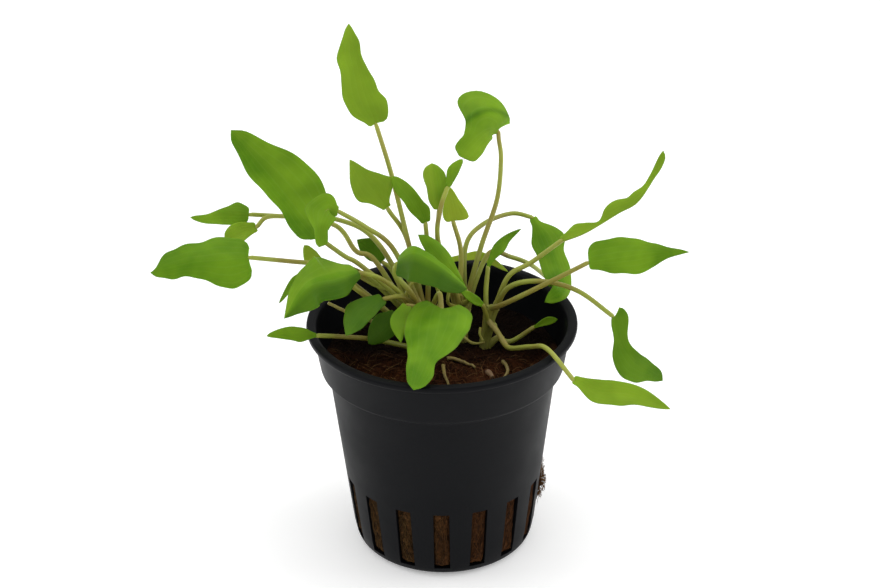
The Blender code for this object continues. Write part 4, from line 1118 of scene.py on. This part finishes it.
def floor_material():
    """The photographer's paper: plain white and matte."""
    material, tree = start_material("white paper")
    shader = add(tree, "BsdfPrincipled", {
        "Base Color": linear("#f8f8f8"), "Roughness": 0.9, "Specular IOR Level": 0.1,
        "Emission Strength": PAPER_GLOW})
    add(tree, "OutputMaterial", {"Surface": shader.outputs[0]})
    return material


# Studio

def make_camera():
    """A camera on a 90 mm lens that looks down on the pot from the photo's angle, its frame
    turned by the photo's slight roll."""
    tilt, roll = math.radians(ELEVATION), math.radians(ROLL)
    back = np.array([0.0, -math.cos(tilt), math.sin(tilt)])
    level = np.array([1.0, 0.0, 0.0])
    rise = np.cross(back, level)
    right = level * math.cos(roll) + rise * math.sin(roll)
    up = rise * math.cos(roll) - level * math.sin(roll)
    place = (np.array(LOOK_AT) + DISTANCE * back) * MM
    matrix = np.eye(4)
    matrix[:3] = np.stack([right, up, back, place], axis=1)
    data = bpy.data.cameras.new("camera")
    data.lens = LENS
    data.sensor_width = SENSOR
    data.clip_start = 0.01
    camera = bpy.data.objects.new("camera", data)
    camera.matrix_world = Matrix(matrix.tolist())
    bpy.context.scene.collection.objects.link(camera)
    bpy.context.scene.camera = camera


def make_light(name, place, size, power):
    """A square soft box at a place in metres, turned to the plant."""
    data = bpy.data.lights.new(name, "AREA")
    data.energy = power
    data.size = size
    light = bpy.data.objects.new(name, data)
    light.location = place
    light.rotation_euler = (Vector(LIGHT_AIM) - Vector(place)).to_track_quat("-Z", "Y").to_euler()
    bpy.context.scene.collection.objects.link(light)


def make_studio():
    """A white paper floor, an even white surround and three soft boxes."""
    mesh = bpy.data.meshes.new("floor")
    mesh.from_pydata([(x * FLOOR_SIZE, y * FLOOR_SIZE, 0.0)
                      for x, y in ((-1, -1), (1, -1), (1, 1), (-1, 1))], [], [(0, 1, 2, 3)])
    floor = bpy.data.objects.new("floor", mesh)
    floor.location.z = FLOOR_Z * MM
    mesh.materials.append(floor_material())
    bpy.context.scene.collection.objects.link(floor)
    world = bpy.data.worlds.new("surround")
    world.use_nodes = True
    tree = world.node_tree
    tree.nodes.clear()
    side = add(tree, "SeparateXYZ", {0: add(tree, "TexCoord").outputs["Generated"]})
    strength = add(tree, "MapRange", {"Value": side.outputs["Y"], "From Min": -1.0, "From Max": 1.0,
                                      "To Min": SURROUND[0], "To Max": SURROUND[1]})
    sky = add(tree, "Background", {"Color": (1.0, 1.0, 1.0, 1.0), "Strength": strength.outputs[0]})
    add(tree, "OutputWorld", {"Surface": sky.outputs[0]})
    bpy.context.scene.world = world
    bpy.context.scene.view_settings.view_transform = "Standard"
    for name, (place, size, power) in SOFT_BOXES.items():
        make_light(name, place, size, power)


make_camera()
make_studio()
upper = leaf_material("leaf upper side", "#517c06", "#6c9515", "#8cb24c", "#a1b534", 0.5)
under = leaf_material("leaf underside", "#618c18", "#799b26", "#93b758", "#a9b940", 0.55)
# the leaf stalk's foot colour and all of the sheath's colours are darkened in part as painted shade, where
# the stalks stand in the tangle of the crowns
stalk = stalk_material("leaf stalk", "#87962c", "#a0a645", "#75762f", 0.45)
sheath = stalk_material("leaf sheath", "#636d2a", "#828a3e", "#837f4b", 0.5)
root_skin = stalk_material("root skin", "#6f543c", "#8b7050", "#5f4530", 0.6)
make_pot(plastic_material())
make_wool(wool_material())
make_fibres(strand_material())
for name, crown in CROWNS.items():
    make_crown(name, crown, sheath)
for number, leaf in enumerate(LEAVES):
    make_leaf(leaf, SEED + number, [upper, under, stalk])
for name, plan in ROOTS.items():
    make_root(name, plan, root_skin)
make_twigs("rootlets", ROOTLETS, root_skin)
make_twigs("stalk_stubs", STUBS, stalk)
